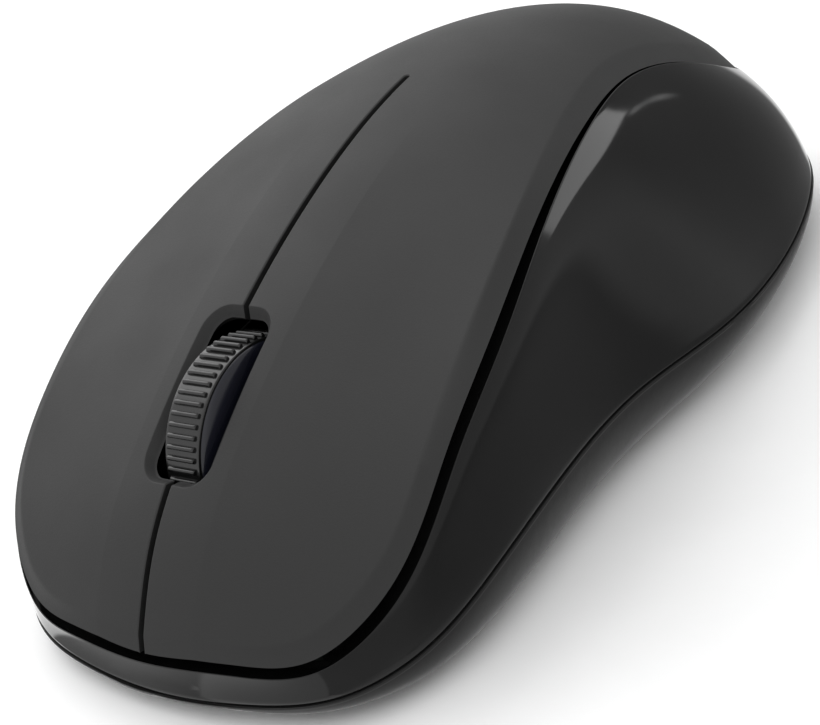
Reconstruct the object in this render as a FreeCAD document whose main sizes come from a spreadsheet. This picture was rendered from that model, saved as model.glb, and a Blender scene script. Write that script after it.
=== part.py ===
import FreeCAD, Part
import Sketcher
import math
import os

# A cordless optical mouse.  Millimetres, +Z up, the desk at z = 0, the buttons towards -Y and the
# thumb side towards +X.  The free-form shells come from four rings (cover edge, frame lip, seam and
# underside) and from the crown surface that the cover follows.  Everything else is placed from them.

DIMENSIONS = [
    ("body_length", 110.0, "front of the frame to the tail"),
    ("body_width", 62.0, "widest place of the seam"),
    ("body_height", 37.0, "desk to the crown"),
    ("foot_height", 0.8, "how far the feet lift the underside"),
    ("foot_recess", 0.4, "depth of the pockets that hold the feet"),
    ("foot_length", 10.0, "one foot along Y"),
    ("foot_breadth", 5.2, "one foot along X"),
    ("floor_wall", 1.6, "floor of the base"),
    ("base_wall", 1.8, "rim of the base"),
    ("frame_wall", 1.6, "wall of the side frame"),
    ("cover_wall", 1.8, "cover, measured straight down"),
    ("cover_roll", 0.8, "how far the cover edge rolls below the crown surface"),
    ("seam_gap", 0.3, "fine gap between base and frame"),
    ("groove_width", 1.3, "deep groove between cover and frame at the buttons"),
    ("lip_land", 0.3, "top edge of the frame beside the groove"),
    ("ledge_drop", 1.7, "room under the cover for the buttons to move"),
    ("ledge_wall", 1.2, "ledge of the frame"),
    ("ledge_width", 5.0, "ledge under the cover edge"),
    ("seat_gap", 0.2, "palm cover's rim above the ledge"),
    ("flex_y", 7.2, "line where the buttons bend"),
    ("flex_gap", 0.25, "gap at the bending line"),
    ("slit_width", 0.7, "slit between the buttons"),
    ("touch_gap", 0.1, "button posts and arm above their plungers"),
    ("wheel_setback", 24.0, "front of the body to the wheel axle"),
    ("axle_depth", 10.1, "crown surface down to the wheel axle"),
    ("wheel_radius", 10.75, "over the ribs"),
    ("rib_depth", 0.4, "height of a rib"),
    ("rib_count", 60, "ribs on the tyre"),
    ("rib_width", 3.5, "length of a rib across the tyre"),
    ("rib_root", 0.3, "how deep a rib is rooted in the band"),
    ("tyre_width", 4.6, "tyre along the axle"),
    ("tyre_wall", 1.6, "tyre band under the ribs"),
    ("hub_width", 6.5, "hub over its domed flanks"),
    ("axle_radius", 1.25, "wheel axle"),
    ("bearing_gap", 0.05, "radial clearance of every shaft"),
    ("press_gap", 0.02, "hub and disc on the axle"),
    ("well_gap", 0.25, "wheel to the walls of its well"),
    ("well_behind", 4.7, "well behind the axle"),
    ("well_chamfer", 1.0, "slope round the well"),
    ("well_corner", 1.8, "corner radius of the well"),
    ("plate_gap", 0.95, "hub flank to carrier plate"),
    ("plate_wall", 1.2, "carrier plates and arm"),
    ("carrier_length", 8.0, "carrier along Y"),
    ("carrier_rest", 1.2, "carrier above the floor"),
    ("carrier_rise", 2.4, "carrier plates above the axle"),
    ("wheel_room", 0.4, "wheel above the carrier's bridge"),
    ("click_travel", 0.5, "how far the wheel and its carrier go down"),
    ("disc_room", 0.2, "encoder disc above the switches when the wheel is down"),
    ("arm_ahead", 1.5, "axle to the front edge of the carrier's arm"),
    ("guide_gap", 0.2, "carrier to its guides"),
    ("guide_wall", 1.2, "guides of the carrier"),
    ("guide_height", 6.6, "guides above the floor"),
    ("disc_radius", 3.6, "encoder disc"),
    ("disc_wall", 0.8, "encoder disc"),
    ("disc_slots", 16, "slots of the encoder disc"),
    ("disc_reach", 3.2, "carrier plate to the encoder's detector"),
    ("optic_wall", 1.2, "thickness of emitter and detector"),
    ("optic_length", 2.6, "emitter and detector along Y"),
    ("optic_gap", 0.5, "encoder disc to emitter and detector"),
    ("optic_rise", 0.4, "emitter and detector above the axle"),
    ("slot_depth", 1.1, "slots of the encoder disc"),
    ("axle_end", 0.4, "axle beyond the carrier plate"),
    ("board_wall", 1.2, "circuit board"),
    ("board_lift", 2.0, "circuit board above the floor"),
    ("board_width", 33.0, "circuit board"),
    ("board_setback", 8.0, "front of the body to the board"),
    ("board_gap", 0.6, "board to what stands beside it"),
    ("board_window", 16.4, "width of the board's opening for the wheel"),
    ("switch_x", 13.0, "middle line to the button switches"),
    ("switch_setback", 17.0, "front of the body to the switches"),
    ("switch_length", 12.8, "button switch"),
    ("switch_width", 5.8, "button switch"),
    ("switch_height", 6.5, "button switch"),
    ("plunger_ahead", 2.5, "plunger ahead of the switch's middle"),
    ("plunger_length", 1.3, "plunger along Y"),
    ("plunger_width", 2.9, "plunger along X"),
    ("plunger_rise", 0.8, "plunger above its switch"),
    ("plunger_depth", 1.5, "plunger inside its switch"),
    ("plunger_room", 1.0, "free depth under a plunger"),
    ("post_width", 4.0, "button post along X"),
    ("post_length", 2.4, "button post along Y"),
    ("click_size", 6.0, "square case of the wheel's click switch"),
    ("click_height", 3.4, "click switch"),
    ("click_radius", 1.6, "click switch plunger"),
    ("click_x", 11.8, "middle line to the click switch"),
    ("click_behind", 8.5, "click switch behind the axle"),
    ("sensor_length", 9.1, "sensor chip along Y"),
    ("sensor_width", 9.9, "sensor chip along X"),
    ("sensor_height", 2.4, "sensor chip"),
    ("lens_width", 12.0, "lens plate along X"),
    ("lens_length", 9.6, "lens plate along Y"),
    ("lens_recess", 0.6, "lens nose above the underside"),
    ("aperture_radius", 3.6, "round window in the floor"),
    ("lens_gap", 0.15, "lens nose in its window"),
    ("lamp_width", 3.0, "lamp along X"),
    ("lamp_length", 2.8, "lamp along Y"),
    ("lamp_height", 1.7, "lamp"),
    ("chip_size", 5.0, "square controller chip"),
    ("chip_height", 1.2, "controller chip"),
    ("chip_gap", 1.1, "sensor chip to controller chip"),
    ("crystal_width", 3.2, "crystal can along X"),
    ("crystal_length", 8.0, "crystal can along Y"),
    ("crystal_height", 2.6, "crystal can"),
    ("crystal_gap", 2.2, "sensor chip to crystal can"),
    ("capacitor_radius", 2.0, "smoothing capacitor"),
    ("capacitor_height", 6.0, "smoothing capacitor"),
    ("capacitor_behind", 14.4, "capacitor behind the axle"),
    ("cell_diameter", 10.5, "battery cell, AAA size"),
    ("cell_length", 44.5, "battery cell with its nub"),
    ("nub_length", 0.8, "nub of the cell"),
    ("nub_radius", 1.9, "nub of the cell"),
    ("cell_x", -4.0, "cell beside the middle line"),
    ("bay_setback", 9.6, "tail of the body to the bay's rear face"),
    ("bay_gap", 0.4, "cell to the bay walls"),
    ("bay_wall", 1.2, "walls of the battery bay"),
    ("spring_length", 4.6, "compressed spring contact"),
    ("spring_radius", 3.2, "spring contact"),
    ("spring_wire", 0.25, "wire radius of the spring contact"),
    ("spring_turns", 3.5, "turns of the spring contact"),
    ("spring_rim", 1.2, "spring plate beyond the coil"),
    ("contact_wall", 0.4, "plate contact"),
    ("contact_size", 8.0, "square plate contact"),
    ("door_gap", 0.25, "battery door in its opening"),
    ("door_wall", 1.4, "battery door"),
    ("hinge_radius", 0.4, "hinge pins of the door"),
    ("hinge_length", 0.8, "hinge pins beyond the door"),
    ("head_length", 14.4, "receiver head along Y"),
    ("head_width", 6.2, "receiver head along X"),
    ("head_height", 6.5, "receiver head"),
    ("plug_length", 12.0, "receiver plug along Y"),
    ("plug_width", 4.5, "receiver plug along X"),
    ("plug_height", 12.0, "receiver plug"),
    ("sleeve_wall", 0.3, "steel sleeve of the plug"),
    ("tongue_wall", 1.8, "contact tongue of the plug"),
    ("tongue_offset", 0.8, "tongue beside the middle of the plug"),
    ("tongue_setback", 0.5, "tongue below the mouth of the plug"),
    ("mouth_floor", 1.0, "closed end of the plug"),
    ("receiver_gap", 0.4, "receiver to its pocket"),
    ("receiver_y", 26.0, "middle of the receiver"),
    ("screw_x_front", 20.2, "front case screws"),
    ("screw_setback_front", 19.0, "front case screws"),
    ("screw_x_rear", 16.0, "rear case screws"),
    ("screw_setback_rear", 21.0, "rear case screws, from the tail"),
    ("screw_radius", 1.0, "screw shanks"),
    ("screw_length", 8.0, "case screw under its head"),
    ("screw_head_radius", 1.9, "screw heads"),
    ("screw_head_height", 1.2, "screw heads"),
    ("boss_radius", 3.1, "bosses of the base"),
    ("boss_height", 3.8, "bosses above the floor"),
    ("boss_web", 1.4, "boss floor that the screw clamps"),
    ("post_radius", 2.4, "screw posts of the frame"),
    ("post_gap", 0.1, "screw post above its boss"),
    ("board_screw_x", 13.2, "board screws"),
    ("board_screw_length", 3.0, "board screw under its head"),
    ("board_post_radius", 2.2, "board posts of the base"),
    ("power_x", -12.0, "power switch"),
    ("power_behind", 15.0, "power switch behind the axle"),
    ("power_length", 9.0, "power switch along X"),
    ("power_breadth", 4.4, "power switch along Y"),
    ("knob_length", 2.6, "power slider along X"),
    ("knob_breadth", 2.2, "power slider along Y"),
    ("knob_travel", 2.5, "stroke of the power slider"),
    ("knob_gap", 0.2, "power slider in its slot"),
    ("knob_wall", 0.6, "flange of the power slider"),
    ("knob_recess", 0.3, "power slider above the underside"),
    ("flange_end", 0.6, "flange beyond the knob along X"),
    ("flange_side", 0.4, "flange beyond the knob along Y"),
    ("head_room", 0.3, "screw heads to their pockets"),
    ("thread_room", 0.5, "bore beyond the end of a case screw"),
    ("foot_gap", 0.1, "feet in their pockets"),
    ("overlap", 0.5, "how far a joined solid reaches into its neighbour"),
]

# Half outlines from front to tail, as shares of the half width and half length.
COVER_EDGE = [
    (0, -0.976), (0.339, -0.958), (0.629, -0.904), (0.803, -0.785), (0.858, -0.609),
    (0.842, -0.400), (0.761, -0.140), (0.665, 0.127), (0.590, 0.355), (0.571, 0.582),
    (0.523, 0.791), (0.348, 0.931), (0, 0.976),
]
# The seam also has a height, as a share of the body height.
SEAM = [
    (0, -0.982, 0.070), (0.361, -0.962, 0.078), (0.655, -0.905, 0.097), (0.835, -0.796, 0.141),
    (0.916, -0.611, 0.203), (0.916, -0.373, 0.235), (0.932, -0.111, 0.235), (0.997, 0.120, 0.205),
    (0.984, 0.364, 0.168), (0.877, 0.645, 0.151), (0.661, 0.871, 0.157), (0.355, 0.972, 0.162),
    (0, 0.994, 0.162),
]
# Along the same half rings: groove width, lip rise, side bulge and how far the underside tucks in.
GROOVE_SHARE = [1, 0.7, 0.7, 1.1, 1.15, 1, 0.9, 0.7, 0.5, 0.4, 0.4, 0.4, 0.4]
LIP_RISE = [0.4, -0.4, -0.9, -1.2, -1.3, -1.4, -0.8, 0, 0, 0, 0, 0, 0]
SIDE_BULGE = [-0.1, -0.1, 0, 0.2, 0.2, 0.4, 0.6, 0.8, 0.9, 1.2, 1.0, 0.5, 0.4]
BASE_TUCK = [3.4, 3.4, 3.5, 3.6, 3.8, 4.3, 4.7, 5.0, 5.1, 5.2, 5.2, 4.9, 4.6]
# Crown surface: height on the middle line, camber and its fourth-power part, along the half length.
CROWN = [
    (-1, 0.170), (-0.9, 0.377), (-0.75, 0.565), (-0.5, 0.763), (-0.2, 0.920), (0.1, 0.995),
    (0.4, 0.963), (0.7, 0.804), (0.88, 0.612), (1, 0.410),
]
CAMBER = [
    (-1, 0.432), (-0.8, 0.308), (-0.5, 0.240), (-0.2, 0.252), (0.2, 0.342), (0.6, 0.526), (1, 0.888),
]
SHOULDER = [(-1, -0.089), (-0.6, -0.121), (-0.2, -0.098), (0.2, -0.042), (0.6, 0.040), (1, 0.175)]

FAR_BELOW = -20
FAR_ABOVE = 90
UP = FreeCAD.Vector(0, 0, 1)

doc = FreeCAD.newDocument("mouse")
sheet = doc.addObject("Spreadsheet::Sheet", "dims")
nodes = {}


def enter(row, alias, value, note):
    sheet.set(f"A{row}", alias)
    sheet.set(f"B{row}", str(value))
    sheet.set(f"C{row}", note)
    sheet.setAlias(f"B{row}", alias)


def size(alias):
    return float(getattr(sheet, alias))


def smooth_curve(knots):
    """A natural cubic spline through (place, value) knots, as a function of place."""
    places = [knot[0] for knot in knots]
    values = [knot[1] for knot in knots]
    count = len(knots)
    share = [0.0] * count
    bend = [0.0] * count
    for i in range(1, count - 1):
        before = places[i] - places[i - 1]
        after = places[i + 1] - places[i]
        turn = (values[i + 1] - values[i]) / after - (values[i] - values[i - 1]) / before
        pivot = 2 * (before + after) - before * share[i - 1]
        share[i] = after / pivot
        bend[i] = (6 * turn - before * bend[i - 1]) / pivot
    for i in range(count - 2, 0, -1):
        bend[i] -= share[i] * bend[i + 1]

    def value_at(place):
        i = 0
        while i < count - 2 and place > places[i + 1]:
            i += 1
        span = places[i + 1] - places[i]
        b = (place - places[i]) / span
        a = 1 - b
        cubic = (a ** 3 - a) * bend[i] + (b ** 3 - b) * bend[i + 1]
        return a * values[i] + b * values[i + 1] + cubic * span ** 2 / 6

    return value_at


crown_at = smooth_curve(CROWN)
camber_at = smooth_curve(CAMBER)
shoulder_at = smooth_curve(SHOULDER)


def crown_height(x, y):
    across = x / (size("body_width") / 2)
    along = y / (size("body_length") / 2)
    share = crown_at(along) - camber_at(along) * across ** 2 - shoulder_at(along) * across ** 4
    return size("body_height") * share


# ---- rings ----

def whole_ring(half):
    """Mirrors a half ring of points and joins both halves, starting at the front."""
    other = [FreeCAD.Vector(-p.x, p.y, p.z) for p in half[-2:0:-1]]
    return half + other


def whole_list(half):
    return half + half[-2:0:-1]


def closed_curve(points):
    curve = Part.BSplineCurve()
    curve.interpolate(Points=points, PeriodicFlag=True)
    return curve


def ring_wire(points):
    return Part.Wire(closed_curve(points).toShape())


def outward(points):
    """Unit vectors that point straight out of the ring in plan."""
    flat = [FreeCAD.Vector(p.x, p.y, 0) for p in points]
    curve = closed_curve(flat)
    normals = []
    for p in flat:
        along = curve.tangent(curve.parameter(p))[0]
        normal = FreeCAD.Vector(along.y, -along.x, 0).normalize()
        normals.append(normal if normal.dot(p) > 0 else normal * -1)
    return normals


def widened(points, distances):
    return [p + n * d for p, n, d in zip(points, outward(points), distances)]


def narrowed(points, distance):
    return widened(points, [-distance] * len(points))


def raised(points, rise):
    return [p + UP * rise for p in points]


def levelled(points, level):
    return [FreeCAD.Vector(p.x, p.y, level) for p in points]


def bowed(low, high, bulges):
    """The ring half way between two rings, pushed out square to the line that joins them."""
    ring = []
    for a, b, normal, bulge in zip(low, high, outward(low), bulges):
        run = (b - a).dot(normal)
        climb = b.z - a.z
        reach = math.hypot(run, climb)
        ring.append((a + b) * 0.5 + (normal * climb - UP * run) * (bulge / reach))
    return ring


def cover_ring():
    half_width = size("body_width") / 2
    half_length = size("body_length") / 2
    half = []
    for across, along in COVER_EDGE:
        x = across * half_width
        y = along * half_length
        half.append(FreeCAD.Vector(x, y, crown_height(x, y) - size("cover_roll")))
    return whole_ring(half)


def seam_ring():
    scale = (size("body_width") / 2, size("body_length") / 2, size("body_height"))
    half = [FreeCAD.Vector(*(share * full for share, full in zip(p, scale))) for p in SEAM]
    return whole_ring(half)


def lip_ring():
    groove = [share * size("groove_width") for share in whole_list(GROOVE_SHARE)]
    ring = widened(cover_ring(), groove)
    return [p + UP * rise for p, rise in zip(ring, whole_list(LIP_RISE))]


def frame_rings():
    foot = raised(seam_ring(), size("seam_gap"))
    lip = lip_ring()
    return [foot, bowed(foot, lip, whole_list(SIDE_BULGE)), lip]


def tucked_ring(angle):
    """A ring of the base's curved side: 0 degrees is the seam, 90 the flat underside."""
    turn = math.radians(angle)
    seam = seam_ring()
    ring = []
    for p, normal, tuck in zip(seam, outward(seam), whole_list(BASE_TUCK)):
        fall = (p.z - size("foot_height")) * math.sin(turn)
        ring.append(p - normal * (tuck * (1 - math.cos(turn))) - UP * fall)
    return ring


# ---- surfaces and solids from rings ----

def side_faces(rings, straight):
    return Part.makeLoft([ring_wire(ring) for ring in rings], False, straight).Faces


def flat_face(ring):
    return Part.Face(ring_wire(ring))


def closed_solid(faces):
    skin = Part.Compound(faces)
    skin.sewShape(0.01)
    solid = Part.Solid(skin.Shells[0])
    if solid.Volume < 0:
        solid.reverse()
    return solid


def prism(ring):
    return flat_face(levelled(ring, FAR_BELOW)).extrude(UP * (FAR_ABOVE - FAR_BELOW))


def crown_layer(drop, thickness):
    """A layer that follows the crown surface from 'drop' below it, down by its thickness."""
    half_width = size("body_width") / 2
    half_length = size("body_length") / 2
    grid = []
    for column_step in range(-5, 6):
        x = half_width * 0.97 * column_step / 5
        rows = [half_length * 1.04 * row / 13 for row in range(-13, 14)]
        grid.append([FreeCAD.Vector(x, y, crown_height(x, y) - drop) for y in rows])
    surface = Part.BSplineSurface()
    surface.interpolate(grid)
    return surface.toShape().extrude(UP * -thickness)


def shaped(name, shape):
    """A document object for a shape worked out above."""
    feature = doc.addObject("Part::Feature", name)
    feature.Shape = shape
    return feature


# ---- primitives bound to the sheet ----

def about(centre, full):
    return (f"({centre}) - ({full}) / 2", f"({centre}) + ({full}) / 2")


def box(name, x, y, z):
    """A box between two expressions along each axis."""
    solid = doc.addObject("Part::Box", name)
    for side, axis, span in zip(("Length", "Width", "Height"), "xyz", (x, y, z)):
        solid.setExpression(side, f"({span[1]}) - ({span[0]})")
        solid.setExpression(f"Placement.Base.{axis}", f"{span[0]}")
    return solid


def rod(name, radius, x, y, z):
    """An upright cylinder between two heights."""
    solid = doc.addObject("Part::Cylinder", name)
    solid.setExpression("Radius", f"{radius}")
    solid.setExpression("Height", f"({z[1]}) - ({z[0]})")
    for axis, place in zip("xyz", (x, y, z[0])):
        solid.setExpression(f"Placement.Base.{axis}", f"{place}")
    return solid


def cross_rod(name, radius, x, y, z):
    """A cylinder along X between two places."""
    solid = doc.addObject("Part::Cylinder", name)
    solid.Placement.Rotation = FreeCAD.Rotation(FreeCAD.Vector(0, 1, 0), 90)
    solid.setExpression("Radius", f"{radius}")
    solid.setExpression("Height", f"({x[1]}) - ({x[0]})")
    for axis, place in zip("xyz", (x[0], y, z)):
        solid.setExpression(f"Placement.Base.{axis}", f"{place}")
    return solid


def fused(name, parts):
    union = doc.addObject("Part::MultiFuse", name)
    union.Shapes = parts
    return union


def cut(name, base, tools):
    result = doc.addObject("Part::Cut", name)
    result.Base = base
    result.Tool = tools[0] if len(tools) == 1 else fused(name + "_tools", tools)
    return result


def shared(name, parts):
    result = doc.addObject("Part::MultiCommon", name)
    result.Shapes = parts
    return result


def group(name, parts):
    result = doc.addObject("Part::Compound", name)
    result.Links = parts
    return result


def node(name, feature):
    """Marks a document object as a finished piece of the mouse."""
    feature.Label = name
    nodes[name] = feature
    return feature


def turned(name, outline):
    """A body turned about X from (place along X, radius) expressions."""
    body = doc.addObject("PartDesign::Body", name)
    plane = next(f for f in body.Origin.OriginFeatures if f.Role == "XY_Plane")
    sketch = body.newObject("Sketcher::SketchObject", name + "_outline")
    sketch.AttachmentSupport = (plane, [""])
    sketch.MapMode = "FlatFace"
    corners = []
    for along, radius in outline:
        value = [float(sheet.evalExpression(f"({e}) * 1.0")) for e in (along, radius)]
        corners.append(FreeCAD.Vector(value[0], value[1], 0))
    count = len(corners)
    for i in range(count):
        sketch.addGeometry(Part.LineSegment(corners[i], corners[(i + 1) % count]), False)
    for i in range(count):
        sketch.addConstraint(Sketcher.Constraint("Coincident", i, 2, (i + 1) % count, 1))
    for i, (along, radius) in enumerate(outline):
        for kind, value, place in (("DistanceX", corners[i].x, along), ("DistanceY", corners[i].y, radius)):
            index = sketch.addConstraint(Sketcher.Constraint(kind, -1, 1, i, 1, value))
            sketch.setExpression(f"Constraints[{index}]", f"{place}")
    turn = body.newObject("PartDesign::Revolution", name + "_turned")
    turn.Profile = sketch
    turn.ReferenceAxis = (sketch, ["H_Axis"])
    turn.Angle = 360
    return body


# ---- places that several pieces share ----

FRONT = "-dims.body_length / 2"
TAIL = "dims.body_length / 2"
UNDERSIDE = "dims.foot_height"
FLOOR = "(dims.foot_height + dims.floor_wall)"
BOARD_BOTTOM = f"({FLOOR} + dims.board_lift)"
BOARD_TOP = f"({BOARD_BOTTOM} + dims.board_wall)"
AXLE_Y = f"({FRONT} + dims.wheel_setback)"
AXLE_Z = "dims.axle_height"
PLATE_INNER = "(dims.hub_width / 2 + dims.plate_gap)"
PLATE_OUTER = f"({PLATE_INNER} + dims.plate_wall)"
SWITCH_Y = f"({FRONT} + dims.switch_setback)"
PLUNGER_Y = f"({SWITCH_Y} - dims.plunger_ahead)"
SWITCH_TOP = f"({BOARD_TOP} + dims.switch_height)"
PLUNGER_TOP = f"({SWITCH_TOP} + dims.plunger_rise)"
CLICK_Y = f"({AXLE_Y} + dims.click_behind)"
CLICK_TOP = f"({BOARD_TOP} + dims.click_height)"
BAY_REAR = f"({TAIL} - dims.bay_setback)"
CELL_REAR = f"({BAY_REAR} - dims.contact_wall - dims.touch_gap)"
CELL_FRONT = f"({CELL_REAR} - dims.cell_length)"
BAY_FRONT = f"({CELL_FRONT} - dims.spring_length - 2 * dims.touch_gap)"
BAY_LEFT = "(dims.cell_x + dims.cell_diameter / 2 + dims.bay_gap)"
BAY_RIGHT = "(dims.cell_x - dims.cell_diameter / 2 - dims.bay_gap)"
POCKET_RIGHT = f"({BAY_LEFT} + dims.bay_wall)"
POCKET_LEFT = f"({POCKET_RIGHT} + dims.head_width + 2 * dims.receiver_gap)"
CELL_Z = f"({FLOOR} + dims.bay_gap + dims.cell_diameter / 2)"
BAY_TOP = f"({CELL_Z} + dims.cell_diameter / 2 + dims.bay_gap)"
RECEIVER_X = f"(({POCKET_RIGHT} + {POCKET_LEFT}) / 2)"
HEAD_TOP = f"({FLOOR} + dims.receiver_gap + dims.head_height)"
PLUG_TOP = f"({HEAD_TOP} + dims.plug_height)"
BOARD_REAR = f"({BAY_FRONT} - dims.bay_wall - dims.board_gap)"
SENSOR_Y = f"({BOARD_REAR} - dims.board_gap - dims.sensor_length / 2)"
BOSS_TOP = f"({FLOOR} + dims.boss_height)"
BOSS_WEB = f"({BOSS_TOP} - dims.boss_web)"
POST_BOTTOM = f"({BOSS_TOP} + dims.post_gap)"
POWER_Y = f"({AXLE_Y} + dims.power_behind)"
HINGE_Y = f"({BAY_FRONT} + dims.door_gap + dims.door_wall / 2)"
HINGE_Z = f"({UNDERSIDE} + dims.door_wall / 2)"
SIDES = {"left": 1, "right": -1}
CORNERS = [
    ("left_front", "dims.screw_x_front", f"({FRONT} + dims.screw_setback_front)"),
    ("right_front", "-dims.screw_x_front", f"({FRONT} + dims.screw_setback_front)"),
    ("left_rear", "dims.screw_x_rear", f"({TAIL} - dims.screw_setback_rear)"),
    ("right_rear", "-dims.screw_x_rear", f"({TAIL} - dims.screw_setback_rear)"),
]
BOARD_SCREWS = [
    ("left_mid", "dims.board_screw_x", f"({AXLE_Y} + dims.click_behind)"),
    ("left_back", "dims.board_screw_x", f"({BOARD_REAR} - dims.board_post_radius)"),
    ("right_back", "-dims.board_screw_x", f"({BOARD_REAR} - dims.board_post_radius)"),
]


# ---- shells ----

def base_skin():
    seam = seam_ring()
    rim = narrowed(seam, size("base_wall"))
    floor_inset = [-size("base_wall") - 0.6 * tuck for tuck in whole_list(BASE_TUCK)]
    floor = levelled(widened(seam, floor_inset), size("foot_height") + size("floor_wall"))
    side = [tucked_ring(angle) for angle in (90, 62, 32, 0)]
    faces = [flat_face(side[0]), flat_face(floor)] + side_faces(side, False)
    faces += side_faces([seam, rim], True) + side_faces([rim, floor], True)
    return closed_solid(faces)


def on_crown(ring, drop):
    """The ring moved straight up or down to lie a given drop below the crown surface."""
    return [FreeCAD.Vector(p.x, p.y, crown_height(p.x, p.y) - drop) for p in ring]


def frame_skin():
    """The side wall with its lip, the groove beside it and the ledge under the cover."""
    foot, middle, lip = frame_rings()
    ledge_top = size("cover_wall") + size("ledge_drop")
    ledge_bottom = ledge_top + size("ledge_wall")
    land = narrowed(lip, size("lip_land"))
    inner_edge = narrowed(cover_ring(), size("ledge_width"))
    straight_runs = [
        lip,
        land,
        on_crown(land, ledge_top),
        on_crown(inner_edge, ledge_top),
        on_crown(inner_edge, ledge_bottom),
        on_crown(narrowed(lip, size("frame_wall")), ledge_bottom),
        narrowed(foot, size("frame_wall")),
        foot,
    ]
    faces = side_faces([foot, middle, lip], False)
    for start, stop in zip(straight_runs, straight_runs[1:]):
        faces += side_faces([start, stop], True)
    return closed_solid(faces)


def cover_layer():
    return crown_layer(0, size("cover_wall")).common(prism(cover_ring()))


def behind(y):
    """Everything behind a place along Y."""
    reach = size("body_length")
    corner = FreeCAD.Vector(-reach, y, FAR_BELOW)
    return Part.makeBox(2 * reach, reach, FAR_ABOVE - FAR_BELOW, corner)


def palm_shape():
    """The rear of the cover with a rim that rests on the ledge."""
    ring = cover_ring()
    start = size("flex_y") + size("flex_gap") / 2
    rim_height = size("ledge_drop") - size("seat_gap")
    rim = crown_layer(size("cover_wall") - 0.1, rim_height + 0.1).common(prism(ring))
    rim = rim.cut(prism(narrowed(ring, size("cover_wall"))))
    return cover_layer().fuse(rim).common(behind(start))


def well_wire(half_width, front, rear, corner, drop):
    """A rounded rectangle that tilts with the cover and lies a vertical drop below it."""
    slope_front = crown_height(0, front)
    slope_rear = crown_height(0, rear)
    tilt = math.atan2(slope_rear - slope_front, rear - front)
    half_length = (rear - front) / 2 / math.cos(tilt)
    outline = []
    across = half_width - corner
    along = half_length - corner
    centres = [(across, along, 0), (-across, along, 90), (-across, -along, 180), (across, -along, 270)]
    for x, y, start in centres:
        for angle in (start, start + 45, start + 90):
            turn = math.radians(angle)
            outline.append(FreeCAD.Vector(x + corner * math.cos(turn), y + corner * math.sin(turn), 0))
    edges = []
    for i in range(0, 12, 3):
        edges.append(Part.Arc(*outline[i:i + 3]).toShape())
        edges.append(Part.LineSegment(outline[i + 2], outline[(i + 3) % 12]).toShape())
    wire = Part.Wire(edges)
    middle = FreeCAD.Vector(0, (front + rear) / 2, (slope_front + slope_rear) / 2 - drop)
    wire.Placement = FreeCAD.Placement(middle, FreeCAD.Rotation(FreeCAD.Vector(1, 0, 0), math.degrees(tilt)))
    return wire


def wheel_reach():
    """How far behind the axle the wheel passes through the cover."""
    axle_y = size("wheel_setback") - size("body_length") / 2
    radius = size("wheel_radius") + size("well_gap")
    reach = 0
    for step in range(int(radius * 10)):
        y = step / 10
        rim = size("axle_height") + math.sqrt(radius ** 2 - y ** 2)
        if rim > crown_height(0, axle_y + y) - size("cover_wall"):
            reach = y
    return reach


def well_shape():
    """The wheel's well: straight walls below, a sloped edge at the surface."""
    axle_y = size("wheel_setback") - size("body_length") / 2
    front = axle_y - size("wheel_radius") - size("well_gap")
    rear = axle_y + max(size("well_behind"), wheel_reach())
    half_width = size("hub_width") / 2 + size("well_gap")
    corner = size("well_corner")
    slope = size("well_chamfer")
    fall = 1.2 * slope
    low = well_wire(half_width, front, rear, corner, size("cover_wall") + 6)
    edge = well_wire(half_width, front, rear, corner, fall)
    wide = well_wire(half_width + 2 * slope, front - 2 * slope, rear + 2 * slope, corner + slope, -fall)
    straight = Part.makeLoft([low, edge], True, True)
    return straight.fuse(Part.makeLoft([edge, wide], True, True))


def button_shape(side):
    """One finger of the cover, from the slit to its own edge."""
    reach = size("body_length")
    start = size("slit_width") / 2
    corner = FreeCAD.Vector(start, -reach, FAR_BELOW)
    half = Part.makeBox(reach, 2 * reach, FAR_ABOVE - FAR_BELOW, corner)
    if side < 0:
        half = half.mirror(FreeCAD.Vector(0, 0, 0), FreeCAD.Vector(1, 0, 0))
    finger = cover_layer().common(half).cut(behind(size("flex_y") - size("flex_gap") / 2))
    return finger.cut(well_shape())


def make_base():
    parts = [shaped("base_skin", base_skin())]
    holes = []
    for corner, x, y in CORNERS:
        parts.append(rod("boss_" + corner, "dims.boss_radius", x, y, (f"{FLOOR} - dims.overlap", BOSS_TOP)))
        pocket = "dims.screw_head_radius + dims.head_room"
        holes.append(rod("head_hole_" + corner, pocket, x, y, (f"{UNDERSIDE} - 1", BOSS_WEB)))
        shank = "dims.screw_radius + dims.bearing_gap"
        holes.append(rod("shank_hole_" + corner, shank, x, y, (f"{UNDERSIDE} - 1", f"{BOSS_TOP} + 1")))
        holes.append(foot(corner + "_pocket", x, y, "dims.foot_height + dims.foot_recess", "dims.foot_gap"))
    for corner, x, y in BOARD_SCREWS:
        span = (f"{FLOOR} - dims.overlap", BOARD_BOTTOM)
        parts.append(rod("board_post_" + corner, "dims.board_post_radius", x, y, span))
        shank = "dims.screw_radius + dims.bearing_gap"
        span = (f"{BOARD_TOP} - dims.board_screw_length - dims.bearing_gap", f"{BOARD_BOTTOM} + 1")
        holes.append(rod("board_hole_" + corner, shank, x, y, span))
    for side, sign in SIDES.items():
        parts.append(guide(side, sign))
    parts.append(bay_walls())
    holes.append(bay_room())
    through = (f"{UNDERSIDE} - 1", f"{FLOOR} + 0.01")
    holes.append(rod("aperture", "dims.aperture_radius", "0", SENSOR_Y, through))
    slot = "dims.knob_length + dims.knob_travel + 2 * dims.knob_gap"
    across = (f"dims.power_x - dims.knob_length / 2 - dims.knob_gap",
              f"dims.power_x - dims.knob_length / 2 - dims.knob_gap + {slot}")
    along = about(POWER_Y, "dims.knob_breadth + 2 * dims.knob_gap")
    holes.append(box("power_slot", across, along, through))
    return cut("base_shell", fused("base_solid", parts), holes)


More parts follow.
